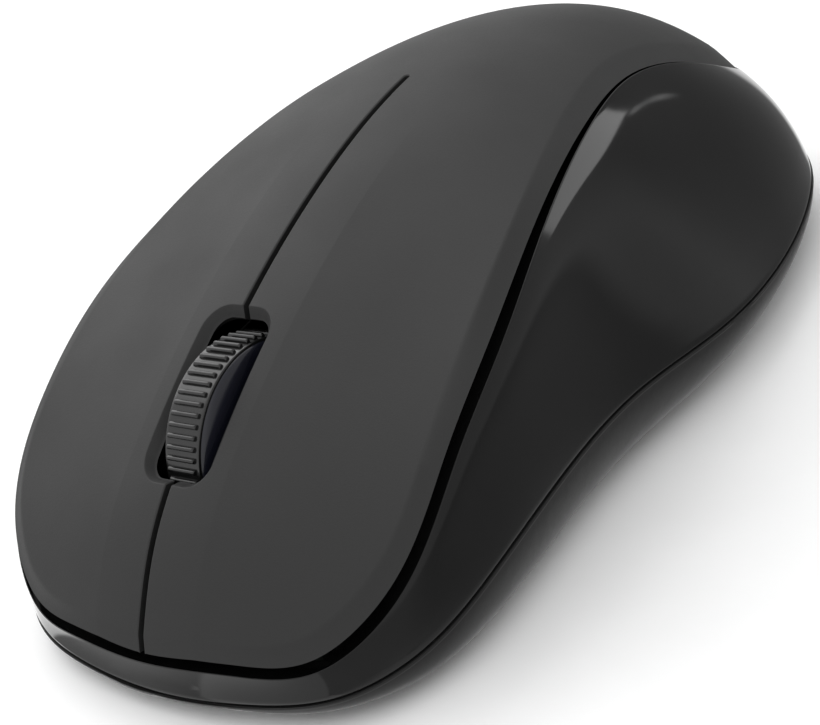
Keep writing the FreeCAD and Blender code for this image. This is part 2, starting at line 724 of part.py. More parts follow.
def guide(side, sign):
    """A channel on the floor in which one plate of the wheel carrier slides up and down."""
    inner = f"({PLATE_OUTER} + dims.guide_gap)"
    outer = f"({inner} + dims.guide_wall)"
    lip = f"({PLATE_INNER} + 0.1)"
    front = f"({AXLE_Y} - dims.carrier_length / 2 - dims.guide_gap)"
    rear = f"({AXLE_Y} + dims.carrier_length / 2 + dims.guide_gap)"
    z = (f"{FLOOR} - dims.overlap", f"{FLOOR} + dims.guide_height")

    def across(a, b):
        return (a, b) if sign > 0 else (f"-{b}", f"-{a}")

    wide_y = (f"{front} - dims.guide_wall", f"{rear} + dims.guide_wall")
    web = box(f"guide_web_{side}", across(inner, outer), wide_y, z)
    front_lip = box(f"guide_front_{side}", across(lip, outer), (f"{front} - dims.guide_wall", front), z)
    rear_lip = box(f"guide_rear_{side}", across(lip, outer), (rear, f"{rear} + dims.guide_wall"), z)
    return fused(f"guide_{side}", [web, front_lip, rear_lip])


def bay_walls():
    """The closed tub round the battery and the upright pocket round the receiver."""
    low = f"{FLOOR} - dims.overlap"
    across = (f"{BAY_RIGHT} - dims.bay_wall", f"{POCKET_LEFT} + dims.bay_wall")
    along = (f"{BAY_FRONT} - dims.bay_wall", f"{BAY_REAR} + dims.bay_wall")
    tub = box("bay_tub", across, along, (low, f"{BAY_TOP} + dims.bay_wall"))
    pocket_x = about(RECEIVER_X, "dims.head_width + 2 * dims.receiver_gap + 2 * dims.bay_wall")
    pocket_y = about("dims.receiver_y", "dims.head_length + 2 * dims.receiver_gap + 2 * dims.bay_wall")
    top = f"{PLUG_TOP} + dims.receiver_gap + dims.bay_wall"
    return fused("bay_outside", [tub, box("pocket_outside", pocket_x, pocket_y, (low, top))])


def bay_room():
    """What is hollow in the tub: cell room, receiver pocket, hinge sockets and the floor opening."""
    low = f"{UNDERSIDE} - 1"
    opening = box("door_opening", (BAY_RIGHT, POCKET_LEFT), (BAY_FRONT, BAY_REAR), (low, f"{FLOOR} + 0.01"))
    cell_room = box("cell_room", (BAY_RIGHT, BAY_LEFT), (BAY_FRONT, BAY_REAR), (low, BAY_TOP))
    pocket_y = about("dims.receiver_y", "dims.head_length + 2 * dims.receiver_gap")
    head_room = box("head_room", (POCKET_RIGHT, POCKET_LEFT), pocket_y, (low, f"{HEAD_TOP} + dims.touch_gap"))
    plug_x = about(RECEIVER_X, "dims.plug_width + 2 * dims.touch_gap")
    plug_y = about("dims.receiver_y", "dims.plug_length + 2 * dims.touch_gap")
    plug_room = box("plug_room", plug_x, plug_y, (low, f"{PLUG_TOP} + dims.receiver_gap"))
    reach = "(dims.door_gap + dims.hinge_length)"
    pins = cross_rod("hinge_sockets", "dims.hinge_radius + dims.bearing_gap",
                     (f"{BAY_RIGHT} - {reach}", f"{POCKET_LEFT} + {reach}"), HINGE_Y, HINGE_Z)
    return fused("bay_hollow", [opening, cell_room, head_room, plug_room, pins])


def make_frame():
    """The side frame with its four screw posts, which end inside the ledge."""
    posts = []
    holes = []
    for corner, x, y in CORNERS:
        posts.append(rod("post_" + corner, "dims.post_radius", x, y, (POST_BOTTOM, "dims.body_height")))
        shank = "dims.screw_radius + dims.bearing_gap"
        top = f"{BOSS_WEB} + dims.screw_length + dims.thread_room"
        holes.append(rod("thread_" + corner, shank, x, y, (f"{POST_BOTTOM} - 1", top)))
    drop = size("cover_wall") + size("ledge_drop") + size("ledge_wall") / 2
    under_ledge = shaped("under_ledge", crown_layer(drop, FAR_ABOVE))
    trimmed = shared("posts_trimmed", [fused("posts", posts), under_ledge])
    whole = fused("frame_solid", [shaped("frame_skin", frame_skin()), trimmed])
    return cut("side_frame", whole, holes)


def make_button(side, sign):
    """A button with the post that presses its switch."""
    finger = shaped(f"{side}_finger", button_shape(sign))
    x = about(f"{sign} * dims.switch_x", "dims.post_width")
    y = about(PLUNGER_Y, "dims.post_length")
    post = box(f"{side}_post", x, y, (f"{PLUNGER_TOP} + dims.touch_gap", "dims.body_height"))
    limit = shaped(f"{side}_under_cover", crown_layer(size("cover_wall") / 2, FAR_ABOVE))
    return fused(f"{side}_button", [finger, shared(f"{side}_post_trimmed", [post, limit])])


# ---- wheel and carrier ----

def make_tyre():
    """The rubber band of the wheel with its ribs."""
    band = "(dims.wheel_radius - dims.rib_depth)"
    inner = f"({band} - dims.tyre_wall)"
    half = "dims.tyre_width / 2"
    shoulder = f"({half} - dims.rib_depth)"
    body = turned("wheel_tyre", [
        (f"-{half}", inner), (half, inner), (half, f"{band} - dims.rib_depth"), (shoulder, band),
        (f"-{shoulder}", band), (f"-{half}", f"{band} - dims.rib_depth"),
    ])
    plane = next(f for f in body.Origin.OriginFeatures if f.Role == "YZ_Plane")
    sketch = body.newObject("Sketcher::SketchObject", "rib_outline")
    sketch.AttachmentSupport = (plane, [""])
    sketch.MapMode = "FlatFace"
    radius = size("wheel_radius")
    foot_half = math.pi * radius / size("rib_count") / 2
    low = radius - size("rib_depth") - size("rib_root")
    corners = [(-foot_half, low), (foot_half, low), (foot_half * 0.7, radius), (-foot_half * 0.7, radius)]
    points = [FreeCAD.Vector(x, y, 0) for x, y in corners]
    for i in range(4):
        sketch.addGeometry(Part.LineSegment(points[i], points[(i + 1) % 4]), False)
    for i in range(4):
        sketch.addConstraint(Sketcher.Constraint("Coincident", i, 2, (i + 1) % 4, 1))
    foot_place = "pi * dims.wheel_radius / dims.rib_count / 2"
    top_place = f"{foot_place} * 0.7"
    low_place = "dims.wheel_radius - dims.rib_depth - dims.rib_root"
    places = [(f"-{foot_place}", low_place), (foot_place, low_place),
              (top_place, "dims.wheel_radius"), (f"-{top_place}", "dims.wheel_radius")]
    for i, (x, y) in enumerate(places):
        for kind, value, place in (("DistanceX", points[i].x, x), ("DistanceY", points[i].y, y)):
            index = sketch.addConstraint(Sketcher.Constraint(kind, -1, 1, i, 1, value))
            sketch.setExpression(f"Constraints[{index}]", place)
    rib = body.newObject("PartDesign::Pad", "rib")
    rib.Profile = sketch
    rib.Midplane = True
    rib.setExpression("Length", "dims.rib_width")
    ribs = body.newObject("PartDesign::PolarPattern", "ribs")
    ribs.Originals = [rib]
    axis = next(f for f in body.Origin.OriginFeatures if f.Role == "X_Axis")
    ribs.Axis = (axis, [""])
    ribs.Angle = 360
    ribs.setExpression("Occurrences", "dims.rib_count")
    body.Tip = ribs
    return body


def make_hub():
    """The wheel's plastic core: a seat for the tyre, domed flanks and a bore on the axle."""
    seat = "(dims.wheel_radius - dims.rib_depth - dims.tyre_wall)"
    brim = f"({seat} + 0.7 * dims.tyre_wall)"
    bore = "(dims.axle_radius + dims.press_gap)"
    tyre = "dims.tyre_width / 2"
    half = "dims.hub_width / 2"
    outline = [(f"-{half}", bore), (half, bore)]
    dome = [("0", 0.45), ("0.15", 0.7), ("0.45", 0.9)]
    outline += [(f"{half} - {fall}", f"{seat} * {share}") for fall, share in dome]
    outline += [(tyre, brim), (tyre, seat), (f"-{tyre}", seat), (f"-{tyre}", brim)]
    outline += [(f"{fall} - {half}", f"{seat} * {share}") for fall, share in reversed(dome)]
    return turned("wheel_hub", outline)


def make_disc():
    """The encoder's slotted disc on the long end of the axle."""
    x = disc_span()
    plate = cross_rod("disc_plate", "dims.disc_radius", x, AXLE_Y, AXLE_Z)
    through = (f"{x[0]} - 1", f"{x[1]} + 1")
    bore = cross_rod("disc_bore", "dims.axle_radius + dims.press_gap", through, AXLE_Y, AXLE_Z)
    slots = shaped("disc_slots", slot_ring())
    return cut("encoder_disc", plate, [bore, slots])


def disc_span():
    start = f"({PLATE_OUTER} + dims.disc_reach + dims.optic_wall + dims.optic_gap)"
    return (start, f"({start} + dims.disc_wall)")


def slot_ring():
    count = int(size("disc_slots"))
    radius = size("disc_radius")
    width = math.pi * radius / count
    axle = FreeCAD.Vector(0, size("wheel_setback") - size("body_length") / 2, size("axle_height"))
    slots = []
    for i in range(count):
        corner = FreeCAD.Vector(0, -width / 2, radius - size("slot_depth"))
        slot = Part.makeBox(size("body_width"), width, radius, corner)
        slot.rotate(FreeCAD.Vector(0, 0, 0), FreeCAD.Vector(1, 0, 0), 360 * i / count)
        slot.translate(axle)
        slots.append(slot)
    return Part.Compound(slots)


def make_axle():
    start = f"-({PLATE_OUTER} + dims.axle_end)"
    stop = f"({disc_span()[1]} + dims.axle_end / 2)"
    return cross_rod("wheel_axle", "dims.axle_radius", (start, stop), AXLE_Y, AXLE_Z)


def make_carrier():
    """The fork that holds the axle, with the arm that presses the click switch."""
    low = f"({FLOOR} + dims.carrier_rest)"
    along = about(AXLE_Y, "dims.carrier_length")
    top = f"{AXLE_Z} + dims.carrier_rise"
    base = (low, f"{low} + dims.plate_wall")
    bridge = box("carrier_bridge", (f"-{PLATE_OUTER}", PLATE_OUTER), along, base)
    left = box("carrier_left", (PLATE_INNER, PLATE_OUTER), along, (low, top))
    right = box("carrier_right", (f"-{PLATE_OUTER}", f"-{PLATE_INNER}"), along, (low, top))
    rise = f"({CLICK_TOP} + dims.plunger_rise + dims.touch_gap)"
    reach = "(dims.click_x + dims.click_radius)"
    arm_y = (f"{AXLE_Y} + dims.arm_ahead", f"{CLICK_Y} + dims.click_radius")
    arm = box("carrier_arm", (f"-{reach}", f"-{PLATE_INNER}"), arm_y, (rise, f"{rise} + dims.plate_wall"))
    bore = cross_rod("carrier_bore", "dims.axle_radius + dims.bearing_gap", ("-20", "20"), AXLE_Y, AXLE_Z)
    return cut("wheel_carrier", fused("carrier_solid", [bridge, left, right, arm]), [bore])


# ---- electronics ----

def make_board():
    """The board: trimmed to the inside of the shell, open for the wheel, drilled for its screws."""
    blank = box("board_blank", about("0", "dims.board_width"),
                (f"{FRONT} + dims.board_setback", BOARD_REAR), (BOARD_BOTTOM, BOARD_TOP))
    inside = narrowed(seam_ring(), size("base_wall") + size("frame_wall") + size("board_gap"))
    trimmed = shared("board_trimmed", [blank, shaped("board_limit", prism(inside))])
    window_y = about(AXLE_Y, "2 * (dims.wheel_radius + dims.board_gap)")
    window_z = (f"{BOARD_BOTTOM} - 1", f"{BOARD_TOP} + 1")
    holes = [box("board_window", about("0", "dims.board_window"), window_y, window_z)]
    for corner, x, y in BOARD_SCREWS:
        radius = "dims.screw_radius + dims.bearing_gap"
        holes.append(rod("board_drill_" + corner, radius, x, y, window_z))
    return cut("main_board", trimmed, holes)


def make_switch(side, sign):
    x = f"{sign} * dims.switch_x"
    case = box(f"{side}_case", about(x, "dims.switch_width"), about(SWITCH_Y, "dims.switch_length"),
               (BOARD_TOP, SWITCH_TOP))
    gap = "2 * dims.bearing_gap"
    depth = "dims.plunger_depth + dims.plunger_room"
    well_y = about(PLUNGER_Y, f"dims.plunger_length + {gap}")
    well_z = (f"{SWITCH_TOP} - ({depth})", f"{SWITCH_TOP} + 1")
    well = box(f"{side}_case_well", about(x, f"dims.plunger_width + {gap}"), well_y, well_z)
    return cut(f"{side}_switch_case", case, [well])


def make_plunger(side, sign):
    x = about(f"{sign} * dims.switch_x", "dims.plunger_width")
    y = about(PLUNGER_Y, "dims.plunger_length")
    return box(f"{side}_switch_plunger", x, y, (f"{SWITCH_TOP} - dims.plunger_depth", PLUNGER_TOP))


def make_click_switch():
    x = "-dims.click_x"
    y = about(CLICK_Y, "dims.click_size")
    case = box("click_case", about(x, "dims.click_size"), y, (BOARD_TOP, CLICK_TOP))
    depth = "dims.plunger_depth + dims.plunger_room"
    well = rod("click_well", "dims.click_radius + dims.bearing_gap", x, CLICK_Y,
               (f"{CLICK_TOP} - ({depth})", f"{CLICK_TOP} + 1"))
    return cut("wheel_switch_case", case, [well])


def make_click_plunger():
    return rod("wheel_switch_plunger", "dims.click_radius", "-dims.click_x", CLICK_Y,
               (f"{CLICK_TOP} - dims.plunger_depth", f"{CLICK_TOP} + dims.plunger_rise"))


def make_optic(name, start):
    """An upright optical part whose eye looks at the slots of the disc."""
    front = f"({AXLE_Y} + dims.axle_radius + dims.optic_gap)"
    y = (front, f"{front} + dims.optic_length")
    z = (BOARD_TOP, f"{AXLE_Z} + dims.optic_rise")
    return box(name, (start, f"{start} + dims.optic_wall"), y, z)


def make_sensor():
    return box("sensor_chip", about("0", "dims.sensor_width"), about(SENSOR_Y, "dims.sensor_length"),
               (BOARD_TOP, f"{BOARD_TOP} + dims.sensor_height"))


def make_lens():
    top = f"({BOARD_BOTTOM} - dims.touch_gap)"
    plate = box("lens_plate", about("0", "dims.lens_width"), about(SENSOR_Y, "dims.lens_length"),
                (f"{FLOOR} + dims.touch_gap", top))
    nose = rod("lens_nose", "dims.aperture_radius - dims.lens_gap", "0", SENSOR_Y,
               (f"{UNDERSIDE} + dims.lens_recess", top))
    return fused("sensor_lens", [plate, nose])


def make_lamp():
    start = "(dims.lens_width / 2 + dims.touch_gap)"
    x = (start, f"{start} + dims.lamp_width")
    z = (f"{BOARD_BOTTOM} - dims.lamp_height", BOARD_BOTTOM)
    return box("sensor_lamp", x, about(SENSOR_Y, "dims.lamp_length"), z)


def make_controller():
    edge = "(dims.sensor_width / 2 + dims.chip_gap)"
    x = (f"-{edge} - dims.chip_size", f"-{edge}")
    z = (BOARD_TOP, f"{BOARD_TOP} + dims.chip_height")
    return box("controller_chip", x, about(SENSOR_Y, "dims.chip_size"), z)


def make_crystal():
    edge = "(dims.sensor_width / 2 + dims.crystal_gap)"
    x = (edge, f"{edge} + dims.crystal_width")
    z = (BOARD_TOP, f"{BOARD_TOP} + dims.crystal_height")
    return box("crystal_can", x, about(SENSOR_Y, "dims.crystal_length"), z)


def make_capacitor():
    y = f"{AXLE_Y} + dims.capacitor_behind"
    z = (BOARD_TOP, f"{BOARD_TOP} + dims.capacitor_height")
    return rod("smoothing_capacitor", "dims.capacitor_radius", "dims.switch_x", y, z)


# ---- battery, receiver, power switch ----

def make_battery():
    """A plain cylinder with a nub towards the tail."""
    along_y = FreeCAD.Rotation(FreeCAD.Vector(1, 0, 0), -90)
    can = doc.addObject("Part::Cylinder", "cell_can")
    nub = doc.addObject("Part::Cylinder", "cell_nub")
    for solid, radius in ((can, "dims.cell_diameter / 2"), (nub, "dims.nub_radius")):
        solid.Placement.Rotation = along_y
        solid.setExpression("Radius", radius)
        solid.setExpression("Placement.Base.x", "dims.cell_x")
        solid.setExpression("Placement.Base.y", CELL_FRONT)
        solid.setExpression("Placement.Base.z", CELL_Z)
    can.setExpression("Height", "dims.cell_length - dims.nub_length")
    nub.setExpression("Height", "dims.cell_length")
    return fused("battery_cell", [can, nub])


def make_battery_spring():
    """A coil with a flat plate against the front wall of the bay."""
    wire = size("spring_wire")
    radius = size("spring_radius")
    run = size("spring_length") - 2 * wire - size("contact_wall")
    coil = Part.makeHelix(run / size("spring_turns"), run, radius)
    ring = Part.Wire(Part.makeCircle(wire, FreeCAD.Vector(radius, 0, 0), FreeCAD.Vector(0, 1, 0)))
    sweep = Part.Wire(coil.Edges).makePipeShell([ring], True, True)
    wall = size("contact_wall") + wire
    plate = Part.makeCylinder(radius + size("spring_rim"), wall, FreeCAD.Vector(0, 0, -wall))
    whole = sweep.fuse(plate)
    whole.rotate(FreeCAD.Vector(0, 0, 0), FreeCAD.Vector(1, 0, 0), -90)
    front = float(sheet.evalExpression(BAY_FRONT)) + size("touch_gap") + wall
    whole.translate(FreeCAD.Vector(size("cell_x"), front, float(sheet.evalExpression(CELL_Z))))
    return shaped("battery_spring", whole)


def make_battery_plate():
    x = about("dims.cell_x", "dims.contact_size")
    y = (f"{BAY_REAR} - dims.contact_wall", BAY_REAR)
    return box("battery_plate", x, y, about(CELL_Z, "dims.contact_size"))


def make_door():
    """The door, rounded where it turns about its two pins."""
    x = (f"{BAY_RIGHT} + dims.door_gap", f"{POCKET_LEFT} - dims.door_gap")
    y = (HINGE_Y, f"{BAY_REAR} - dims.door_gap")
    panel = box("door_panel", x, y, (UNDERSIDE, f"{UNDERSIDE} + dims.door_wall"))
    edge = cross_rod("door_edge", "dims.door_wall / 2", x, HINGE_Y, HINGE_Z)
    pins = cross_rod("door_pins", "dims.hinge_radius",
                     (f"{x[0]} - dims.hinge_length", f"{x[1]} + dims.hinge_length"), HINGE_Y, HINGE_Z)
    return fused("battery_door", [panel, edge, pins])


def make_receiver_head():
    bottom = f"({FLOOR} + dims.receiver_gap)"
    y = about("dims.receiver_y", "dims.head_length")
    return box("receiver_head", about(RECEIVER_X, "dims.head_width"), y, (bottom, HEAD_TOP))


def make_receiver_plug():
    """The plug's steel sleeve, open at its mouth, with the contact tongue inside."""
    middle = "dims.receiver_y"
    inside_x = about(RECEIVER_X, "dims.plug_width - 2 * dims.sleeve_wall")
    inside_y = about(middle, "dims.plug_length - 2 * dims.sleeve_wall")
    tongue_x = about(f"{RECEIVER_X} - dims.tongue_offset", "dims.tongue_wall")
    tongue_y = about(middle, "dims.plug_length - 2 * dims.sleeve_wall - 2 * dims.touch_gap")
    sleeve = box("plug_sleeve", about(RECEIVER_X, "dims.plug_width"), about(middle, "dims.plug_length"),
                 (HEAD_TOP, PLUG_TOP))
    room = box("plug_mouth", inside_x, inside_y, (f"{HEAD_TOP} + dims.mouth_floor", f"{PLUG_TOP} + 1"))
    tongue = box("plug_tongue", tongue_x, tongue_y, (HEAD_TOP, f"{PLUG_TOP} - dims.tongue_setback"))
    return fused("receiver_plug", [cut("plug_shell", sleeve, [room]), tongue])


def make_power_case():
    x = about("dims.power_x + dims.knob_travel / 2", "dims.power_length")
    case = box("power_block", x, about(POWER_Y, "dims.power_breadth"), (FLOOR, BOARD_BOTTOM))
    travel = "dims.knob_travel + 2 * dims.knob_gap"
    start = "(dims.power_x - dims.knob_length / 2 - dims.flange_end - dims.knob_gap)"
    room_x = (start, f"{start} + dims.knob_length + 2 * dims.flange_end + {travel}")
    room_y = about(POWER_Y, "dims.knob_breadth + 2 * dims.knob_gap + 2 * dims.flange_side")
    room_z = (f"{FLOOR} - 1", f"{FLOOR} + dims.knob_wall + 2 * dims.knob_gap")
    room = box("power_room", room_x, room_y, room_z)
    return cut("power_switch_case", case, [room])


def make_power_slider():
    top = f"{FLOOR} + dims.knob_gap + dims.knob_wall"
    flange_x = about("dims.power_x", "dims.knob_length + 2 * dims.flange_end")
    flange_y = about(POWER_Y, "dims.knob_breadth + 2 * dims.flange_side")
    knob = box("power_knob", about("dims.power_x", "dims.knob_length"), about(POWER_Y, "dims.knob_breadth"),
               (f"{UNDERSIDE} + dims.knob_recess", top))
    flange = box("power_flange", flange_x, flange_y, (f"{FLOOR} + dims.knob_gap", top))
    return fused("power_switch_slider", [knob, flange])


# ---- feet and fasteners ----

def foot(name, x, y, top, margin):
    """A pad with round ends; the pocket that holds it is the same shape with a margin."""
    half = f"(dims.foot_breadth / 2 + {margin})"
    straight = "(dims.foot_length - dims.foot_breadth)"
    middle = box(f"{name}_bar", about(x, f"2 * {half}"), about(y, straight), ("0", top))
    ends = []
    for end, sign in (("front", -1), ("rear", 1)):
        ends.append(rod(f"{name}_{end}", half, x, f"{y} + {sign} * {straight} / 2", ("0", top)))
    return fused(name, [middle] + ends)


def make_feet():
    pads = []
    for corner, x, y in CORNERS:
        pads.append(foot(corner + "_foot", x, y, "dims.foot_height + dims.foot_recess", "0"))
    return group("glide_feet", pads)


def screw(name, x, y, head_bottom, head_top, shank_span):
    """A screw with a plain cylindrical head."""
    head = rod(f"{name}_head", "dims.screw_head_radius", x, y, (head_bottom, head_top))
    shank = rod(f"{name}_shank", "dims.screw_radius", x, y, shank_span)
    return fused(name, [head, shank])


def make_case_screws():
    screws = []
    for corner, x, y in CORNERS:
        head = (f"{BOSS_WEB} - dims.screw_head_height", BOSS_WEB)
        shank = (head[0], f"{BOSS_WEB} + dims.screw_length")
        screws.append(screw("case_screw_" + corner, x, y, head[0], head[1], shank))
    return group("case_screws", screws)


def make_board_screws():
    screws = []
    for corner, x, y in BOARD_SCREWS:
        head = (BOARD_TOP, f"{BOARD_TOP} + dims.screw_head_height")
        shank = (f"{BOARD_TOP} - dims.board_screw_length", head[1])
        screws.append(screw("board_screw_" + corner, x, y, head[0], head[1], shank))
    return group("board_screws", screws)


# ---- the whole mouse ----

def lowest_axle():
    """The lowest place for the axle: the wheel clears its carrier and the disc clears the switches."""
    floor = size("foot_height") + size("floor_wall")
    bridge_top = floor + size("carrier_rest") + size("plate_wall")
    board_top = floor + size("board_lift") + size("board_wall")
    disc_low = board_top + size("switch_height") + size("click_travel") + size("disc_room")
    return max(bridge_top + size("wheel_room") + size("wheel_radius"), disc_low + size("disc_radius"))


def fill_sheet():
    for row, (alias, value, note) in enumerate(DIMENSIONS, start=1):
        enter(row, alias, value, note)
    doc.recompute()
    axle_y = size("wheel_setback") - size("body_length") / 2
    height = max(crown_height(0, axle_y) - size("axle_depth"), lowest_axle())
    row = len(DIMENSIONS) + 1
    enter(row, "axle_height", round(height, 3), "wheel axle, read off the crown surface")
    doc.recompute()


def place_wheel(body):
    body.setExpression("Placement.Base.y", AXLE_Y)
    body.setExpression("Placement.Base.z", AXLE_Z)
    return body


def build_all():
    node("base_shell", make_base())
    node("side_frame", make_frame())
    node("palm_cover", shaped("palm_cover", palm_shape()))
    for side, sign in SIDES.items():
        node(f"{side}_button", make_button(side, sign))
        node(f"{side}_switch_case", make_switch(side, sign))
        node(f"{side}_switch_plunger", make_plunger(side, sign))
    node("wheel_tyre", place_wheel(make_tyre()))
    node("wheel_hub", place_wheel(make_hub()))
    node("wheel_axle", make_axle())
    node("encoder_disc", make_disc())
    node("wheel_carrier", make_carrier())
    node("encoder_detector", make_optic("encoder_detector", f"({PLATE_OUTER} + dims.disc_reach)"))
    node("encoder_emitter", make_optic("encoder_emitter", f"({disc_span()[1]} + dims.optic_gap)"))
    node("wheel_switch_case", make_click_switch())
    node("wheel_switch_plunger", make_click_plunger())
    node("main_board", make_board())
    node("sensor_chip", make_sensor())
    node("sensor_lens", make_lens())
    node("sensor_lamp", make_lamp())
    node("controller_chip", make_controller())
    node("crystal_can", make_crystal())
    node("smoothing_capacitor", make_capacitor())
    node("battery_cell", make_battery())
    node("battery_spring", make_battery_spring())
    node("battery_plate", make_battery_plate())
    node("battery_door", make_door())
    node("receiver_head", make_receiver_head())
    node("receiver_plug", make_receiver_plug())
    node("power_switch_case", make_power_case())
    node("power_switch_slider", make_power_slider())
    node("glide_feet", make_feet())
    node("case_screws", make_case_screws())
    node("board_screws", make_board_screws())


def check_all():
    for feature in doc.Objects:
        if "Invalid" in feature.State or "Error" in feature.State:
            raise RuntimeError(f"{feature.Name} failed: {feature.State}")
    for name, feature in nodes.items():
        shape = feature.Shape
        if shape.isNull() or not shape.isValid() or not shape.Solids:
            raise RuntimeError(f"{name} has no valid solid")


def write_all():
    os.makedirs("parts", exist_ok=True)
    for name, feature in nodes.items():
        feature.Shape.exportStep(f"parts/{name}.step")
        print(name, len(feature.Shape.Solids), round(feature.Shape.Volume, 1))


fill_sheet()
build_all()
doc.recompute()
check_all()
write_all()
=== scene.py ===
import math

import bpy
import numpy as np
from mathutils import Matrix, Vector
from mathutils.geometry import delaunay_2d_cdt


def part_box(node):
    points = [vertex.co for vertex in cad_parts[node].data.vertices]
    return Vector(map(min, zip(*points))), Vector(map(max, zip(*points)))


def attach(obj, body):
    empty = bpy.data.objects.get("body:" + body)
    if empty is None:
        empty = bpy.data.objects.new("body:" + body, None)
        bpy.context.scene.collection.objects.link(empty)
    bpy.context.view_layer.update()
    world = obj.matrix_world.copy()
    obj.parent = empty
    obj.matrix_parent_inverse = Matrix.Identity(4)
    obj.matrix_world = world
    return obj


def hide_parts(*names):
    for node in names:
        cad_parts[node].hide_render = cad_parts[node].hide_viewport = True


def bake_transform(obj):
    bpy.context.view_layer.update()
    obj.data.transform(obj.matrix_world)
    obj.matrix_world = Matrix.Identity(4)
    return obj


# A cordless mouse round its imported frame.  Shapes are worked out in millimetres in the row frame
# and turned into metres when a mesh is made.

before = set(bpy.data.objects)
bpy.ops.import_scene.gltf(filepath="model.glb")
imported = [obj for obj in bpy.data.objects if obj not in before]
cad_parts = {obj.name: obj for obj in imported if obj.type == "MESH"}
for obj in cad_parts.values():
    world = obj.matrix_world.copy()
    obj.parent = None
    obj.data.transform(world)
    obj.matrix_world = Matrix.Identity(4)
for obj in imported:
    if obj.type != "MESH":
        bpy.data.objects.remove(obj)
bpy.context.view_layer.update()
MM = 0.001
STATIONS = 560

HALF_WIDTH, HALF_LENGTH, HEIGHT = 31.0, 55.0, 37.0
COVER_WALL, TOP_CLEARANCE = 1.8, 0.002
FLEX_Y, SLIT_HALF, SLIT_END = 7.2, 0.35, 6.7

# Half outlines from front to tail, as shares of the half width, half length and height.
COVER_EDGE = [
    (0, -0.976), (0.339, -0.953), (0.628, -0.900), (0.812, -0.788), (0.858, -0.609),
    (0.842, -0.400), (0.761, -0.140), (0.665, 0.127), (0.590, 0.355), (0.571, 0.582),
    (0.523, 0.791), (0.348, 0.931), (0, 0.976),
]
SEAM = [
    (0, -0.982, 0.070), (0.361, -0.962, 0.078), (0.655, -0.905, 0.097), (0.835, -0.796, 0.141),
    (0.916, -0.611, 0.203), (0.916, -0.373, 0.235), (0.932, -0.111, 0.235), (0.997, 0.120, 0.205),
    (0.984, 0.364, 0.168), (0.877, 0.645, 0.151), (0.661, 0.871, 0.157), (0.355, 0.972, 0.162),
    (0, 0.994, 0.162),
]
# Along the same half rings, in millimetres.
EDGE_DROP = [0.7, 0.7, 0.75, 0.8, 0.8, 0.8, 0.8, 0.8, 0.8, 0.8, 0.8, 0.8, 0.8]
GROOVE = [0.55, 0.55, 0.35, 0.45, 0.8, 1.0, 0.8, 0.5, 0.35, 0.3, 0.3, 0.3, 0.3]
LIP_RISE = [-0.75, -1.15, -1.4, -1.35, -0.95, -0.78, -0.55, -0.3, -0.15, -0.05, 0, 0, 0]
SHOULDER_BULGE = [0, 0, 0, 0.05, 0.25, 0.4, 0.4, 0.3, 0.1, 0, 0, 0, 0]
SIDE_BULGE = [-0.1, -0.1, 0, 0.2, 0.2, 0.4, 0.6, 0.8, 0.9, 1.2, 1.0, 0.5, 0.4]
BASE_TUCK = [3.4, 3.4, 3.5, 3.6, 3.8, 4.3, 4.7, 5.0, 5.1, 5.2, 5.2, 4.9, 4.6]
ROLL_WIDTH = [0.8, 0.8, 1.2, 1.7, 2.0, 2.3, 1.9, 2.1, 2.3, 2.6, 2.7, 2.7, 2.7]
# Along the length: the height on the middle line, and its falls with the square and the fourth power
# of the distance to the side, all as shares of the height.
CROWN = [
    (-1, 0.170), (-0.9, 0.377), (-0.75, 0.565), (-0.5, 0.763), (-0.2, 0.920), (0.1, 0.995),
    (0.4, 0.963), (0.7, 0.804), (0.88, 0.612), (1, 0.410),
]
CAMBER = [
    (-1, 0.432), (-0.8, 0.308), (-0.5, 0.240), (-0.2, 0.252), (0.2, 0.342), (0.6, 0.526), (1, 0.888),
]
SHOULDER = [(-1, -0.089), (-0.6, -0.121), (-0.2, -0.098), (0.2, -0.042), (0.6, 0.040), (1, 0.175)]


# ---- curves ----

def natural_spline(knots):
    """A natural cubic spline through (place, value) knots, for whole arrays of places."""
    places = np.array([k[0] for k in knots], float)
    values = np.array([k[1] for k in knots], float)
    count = len(knots)
    gaps = np.diff(places)
    system = np.eye(count)
    right = np.zeros(count)
    for i in range(1, count - 1):
        system[i, i - 1:i + 2] = gaps[i - 1], 2 * (gaps[i - 1] + gaps[i]), gaps[i]
        right[i] = 6 * ((values[i + 1] - values[i]) / gaps[i] - (values[i] - values[i - 1]) / gaps[i - 1])
    bend = np.linalg.solve(system, right)

    def value_at(place):
        i = np.clip(np.searchsorted(places, place) - 1, 0, count - 2)
        b = (place - places[i]) / gaps[i]
        a = 1 - b
        cubic = (a ** 3 - a) * bend[i] + (b ** 3 - b) * bend[i + 1]
        return a * values[i] + b * values[i + 1] + cubic * gaps[i] ** 2 / 6

    return value_at


crown_at, camber_at, shoulder_at = natural_spline(CROWN), natural_spline(CAMBER), natural_spline(SHOULDER)


def crown_height(x, y):
    across = x / HALF_WIDTH
    along = y / HALF_LENGTH
    return HEIGHT * (crown_at(along) - camber_at(along) * across ** 2 - shoulder_at(along) * across ** 4)


def whole(half):
    """A half ring of points or values, joined to its mirror image, starting at the front."""
    half = np.array(half, float)
    other = half[-2:0:-1].copy()
    if half.ndim == 2:
        other[:, 0] *= -1
    return np.concatenate([half, other])


